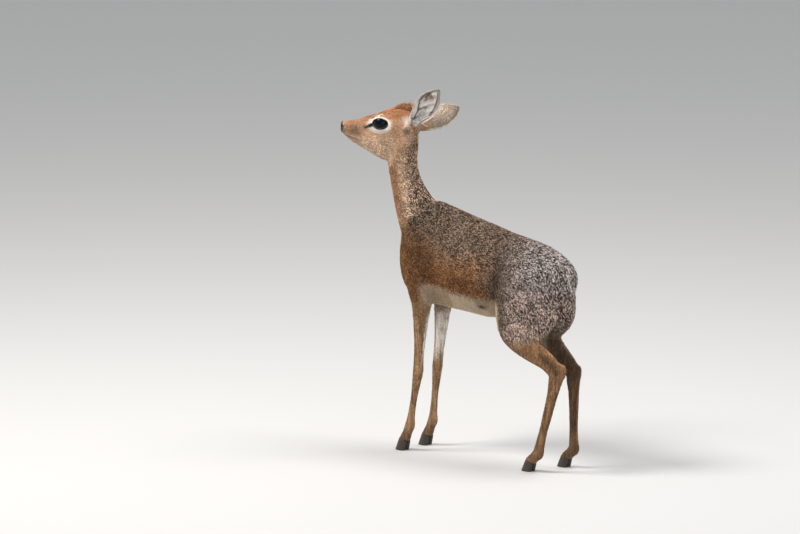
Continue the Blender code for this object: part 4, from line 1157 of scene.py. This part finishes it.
def makeEye(hand, node):
    look = {"rings": 40, "around": 64, "bulge": 0.035, "bulgeWidth": 0.55, "irisWide": 0.66, "irisFlat": 0.72}
    centre, axis, forward, upward = eyeFrame(hand)
    rings, around = look["rings"], look["around"]
    points = []
    for i in range(rings + 1):
        polar = math.pi * i / rings
        bulge = 1 + look["bulge"] * math.exp(-(polar / look["bulgeWidth"]) ** 2)
        for k in range(around):
            angle = 2 * math.pi * k / around
            side = forward * math.cos(angle) + upward * math.sin(angle)
            away = axis * math.cos(polar) + side * math.sin(polar)
            points.append(centre + away * eye["radius"] * bulge * mm)
    ball = makePiece(nameOf("eyeball", hand), points, ringFaces(rings + 1, around), eyeMaterial)

    def closePoles(shape):
        poles = [v for v in shape.verts if v.index < around or v.index >= rings * around]
        bmesh.ops.remove_doubles(shape, verts=poles, dist=1e-7)
        facesOutward(shape)

    editMesh(ball.data, closePoles)
    away = (readPoints(ball.data) - centre) / (eye["radius"] * mm)
    wide = np.hypot(away @ forward * look["irisFlat"], away @ upward)
    paintPoints(ball.data, "iris", np.where(away @ axis > 0, np.clip(wide / look["irisWide"], 0, 1), 1.0))
    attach(ball, "root")
    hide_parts(node)


def lidSpot(hand, angle, share, above):
    centre, axis, forward, upward = eyeFrame(hand)
    reach = eye["radius"] + above
    across, rise = math.cos(angle), math.sin(angle)
    stretch = eye["stretchAhead"] if across > 0 else 1.0
    pinch = 1 - eye["pinch"] * across * across
    a = eye["opening"][0] * across * stretch * share
    b = eye["opening"][1] * rise * pinch * share
    lift = math.sqrt(max(reach ** 2 - a * a - b * b, (eye["leastLift"] * reach) ** 2))
    return centre + unit(axis * lift + forward * a + upward * b) * reach * mm


def makeLashes(hand):
    look = {"count": 30, "first": 22, "last": 158, "length": 4.4, "thick": 0.15, "joints": 4,
            "share": 1.02, "above": 0.9, "curl": 0.42}
    centre, axis, forward, upward = eyeFrame(hand)
    points, faces = [], []
    for i in range(look["count"]):
        angle = math.radians(look["first"] + (look["last"] - look["first"]) * i / (look["count"] - 1))
        root = lidSpot(hand, angle, look["share"], look["above"])
        outward = unit(root - centre)
        away = unit(outward * 0.75 + axis * 0.5 - forward * 0.35 * math.sin(i * 2.3) - upward * 0.1)
        length = look["length"] * (0.8 + 0.2 * math.sin(i * 1.7)) * (0.65 + 0.35 * math.sin(angle))
        aside = unit(np.cross(away, upward))
        start = len(points)
        for share in np.linspace(0, 1, look["joints"]):
            spot = root + (away * share + upward * look["curl"] * share * share) * length * mm
            thick = look["thick"] * (1.05 - share) * mm
            points += [spot + aside * thick, spot - aside * thick, spot + outward * thick]
        faces += [tuple(start + corner for corner in face) for face in ringFaces(look["joints"], 3)]
        end = len(points) - 1
        faces += [(start, start + 1, start + 2), (end, end - 1, end - 2)]
    lashes = makePiece(nameOf("lashes", hand), points, faces, lidMaterial)
    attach(lashes, "root")


def makeLids(hand):
    look = {"thick": 0.9, "wide": 1.05, "count": 96, "sides": 12, "share": 0.96, "above": 0.45,
            "uneven": ((0.10, 1.9), (0.06, 4.3))}
    centre = eyeFrame(hand)[0]
    count, sides = look["count"], look["sides"]
    path = [lidSpot(hand, 2 * math.pi * k / count, look["share"], look["above"]) for k in range(count)]
    points = []
    for i, spot in enumerate(path):
        tangent = unit(path[(i + 1) % count] - path[i - 1])
        outward = unit(spot - centre)
        across = unit(np.cross(tangent, outward))
        rough = 1 + sum(size * math.sin(i * turn) for size, turn in look["uneven"])
        for k in range(sides):
            angle = 2 * math.pi * k / sides
            points.append(spot + (across * math.cos(angle) * look["wide"]
                                  + outward * math.sin(angle) * look["thick"]) * rough * mm)
    lids = makePiece(nameOf("lids", hand), points, ringFaces(count, sides, True), lidMaterial)
    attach(lids, "root")


for hand, node in ((1, "eye_left"), (-1, "eye_right")):
    makeEye(hand, node)
    makeLids(hand)
    makeLashes(hand)
print("eyes ready")


# hooves keep their solids' shape, smoothed into horn with growth rings

def makeHoof(node):
    look = {"rounding": 0.9 * mm, "cuts": 2, "rounds": 3, "pull": 0.35, "lean": 0.35}
    mesh = frame["nodes"][node].data.copy()
    mesh.name = node + "_horn"

    def smoothed(shape):
        bmesh.ops.remove_doubles(shape, verts=shape.verts, dist=weldDistance)
        bmesh.ops.subdivide_edges(shape, edges=shape.edges, cuts=look["cuts"], use_grid_fill=True)
        bmesh.ops.triangulate(shape, faces=shape.faces)
        for _ in range(look["rounds"]):
            bmesh.ops.smooth_vert(shape, verts=shape.verts, factor=look["pull"],
                                  use_axis_x=True, use_axis_y=True, use_axis_z=True)

    editMesh(mesh, smoothed)
    mesh.shade_smooth()
    mesh.materials.clear()
    mesh.materials.append(hornMaterial)
    points = readPoints(mesh)
    points[points[:, 2] < look["rounding"], 2] = 0
    writePoints(mesh, points)
    back = points[:, 0].min()
    span = points[:, 0].max() - back
    paintPoints(mesh, "growth", (points[:, 2] - look["lean"] * (points[:, 0] - back)) / span)
    piece = addObject("horn_" + node, mesh)
    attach(piece, "root")
    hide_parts(node)


for node in frame["nodes"]:
    if node.startswith("hoof_"):
        makeHoof(node)
print("hooves ready")


# floor, light and camera

def makeFloor():
    half = 40.0
    corners = [(-half, -half, 0), (half, -half, 0), (half, half, 0), (-half, half, 0)]
    makePiece("paleFloor", corners, [(0, 1, 2, 3)], floorMaterial, smooth=False)


def makeStudio():
    look = {
        "sky": (0.95, 0.97, 1.0, 1), "skyStrength": 0.56, "target": (0.0, 0.0, 0.34),
        # name, place, size, power and colour
        "lights": (("keyLight", (1.0, 1.3, 2.6), 1.0, 68, (1.0, 0.965, 0.92)),
                   ("fillLight", (-2.2, 1.2, 0.9), 1.8, 7, (0.93, 0.96, 1.0)),
                   ("topLight", (-0.6, -0.6, 2.6), 1.2, 33, (1.0, 0.98, 0.96))),
    }
    scene = bpy.context.scene
    scene.world = bpy.data.worlds.new("softStudio")
    scene.world.use_nodes = True
    back = scene.world.node_tree.nodes["Background"]
    back.inputs[0].default_value = look["sky"]
    back.inputs[1].default_value = look["skyStrength"]
    scene.view_settings.view_transform = "Standard"
    for name, place, size, power, colour in look["lights"]:
        lamp = bpy.data.lights.new(name, "AREA")
        lamp.shape = "DISK"
        lamp.size = size
        lamp.energy = power
        lamp.color = colour
        holder = addObject(name, lamp)
        holder.location = place
        away = Vector(look["target"]) - holder.location
        holder.rotation_euler = away.to_track_quat("-Z", "Y").to_euler()


def makeCamera():
    # fitted to the photograph: the anchor is the pixel where the body's origin falls
    look = {"azimuth": 40.0, "dip": 10.0, "metresPerPixel": 0.0016, "distance": 14.0, "sensor": 36.0,
            "wide": 800, "anchor": (470.0, 456.0), "middle": (400.0, 267.0), "clipEnd": 200.0}
    turn, dip = math.radians(look["azimuth"]), math.radians(look["dip"])
    away = Vector((math.sin(turn) * math.cos(dip), -math.cos(turn) * math.cos(dip), -math.sin(dip)))
    right = Vector((-math.cos(turn), -math.sin(turn), 0))
    up = right.cross(away)
    acrossPixels, downPixels = (look["middle"][k] - look["anchor"][k] for k in range(2))
    target = Vector(bodyOrigin) + (right * acrossPixels - up * downPixels) * look["metresPerPixel"]
    lens = bpy.data.cameras.new("photoView")
    camera = addObject("photoView", lens)
    camera.location = target - away * look["distance"]
    camera.rotation_euler = away.to_track_quat("-Z", "Y").to_euler()
    lens.sensor_width = look["sensor"]
    lens.lens = look["sensor"] * look["distance"] / (look["wide"] * look["metresPerPixel"])
    lens.clip_end = look["clipEnd"]
    bpy.context.scene.camera = camera


makeFloor()
makeStudio()
makeCamera()
print("floor, light and camera ready")
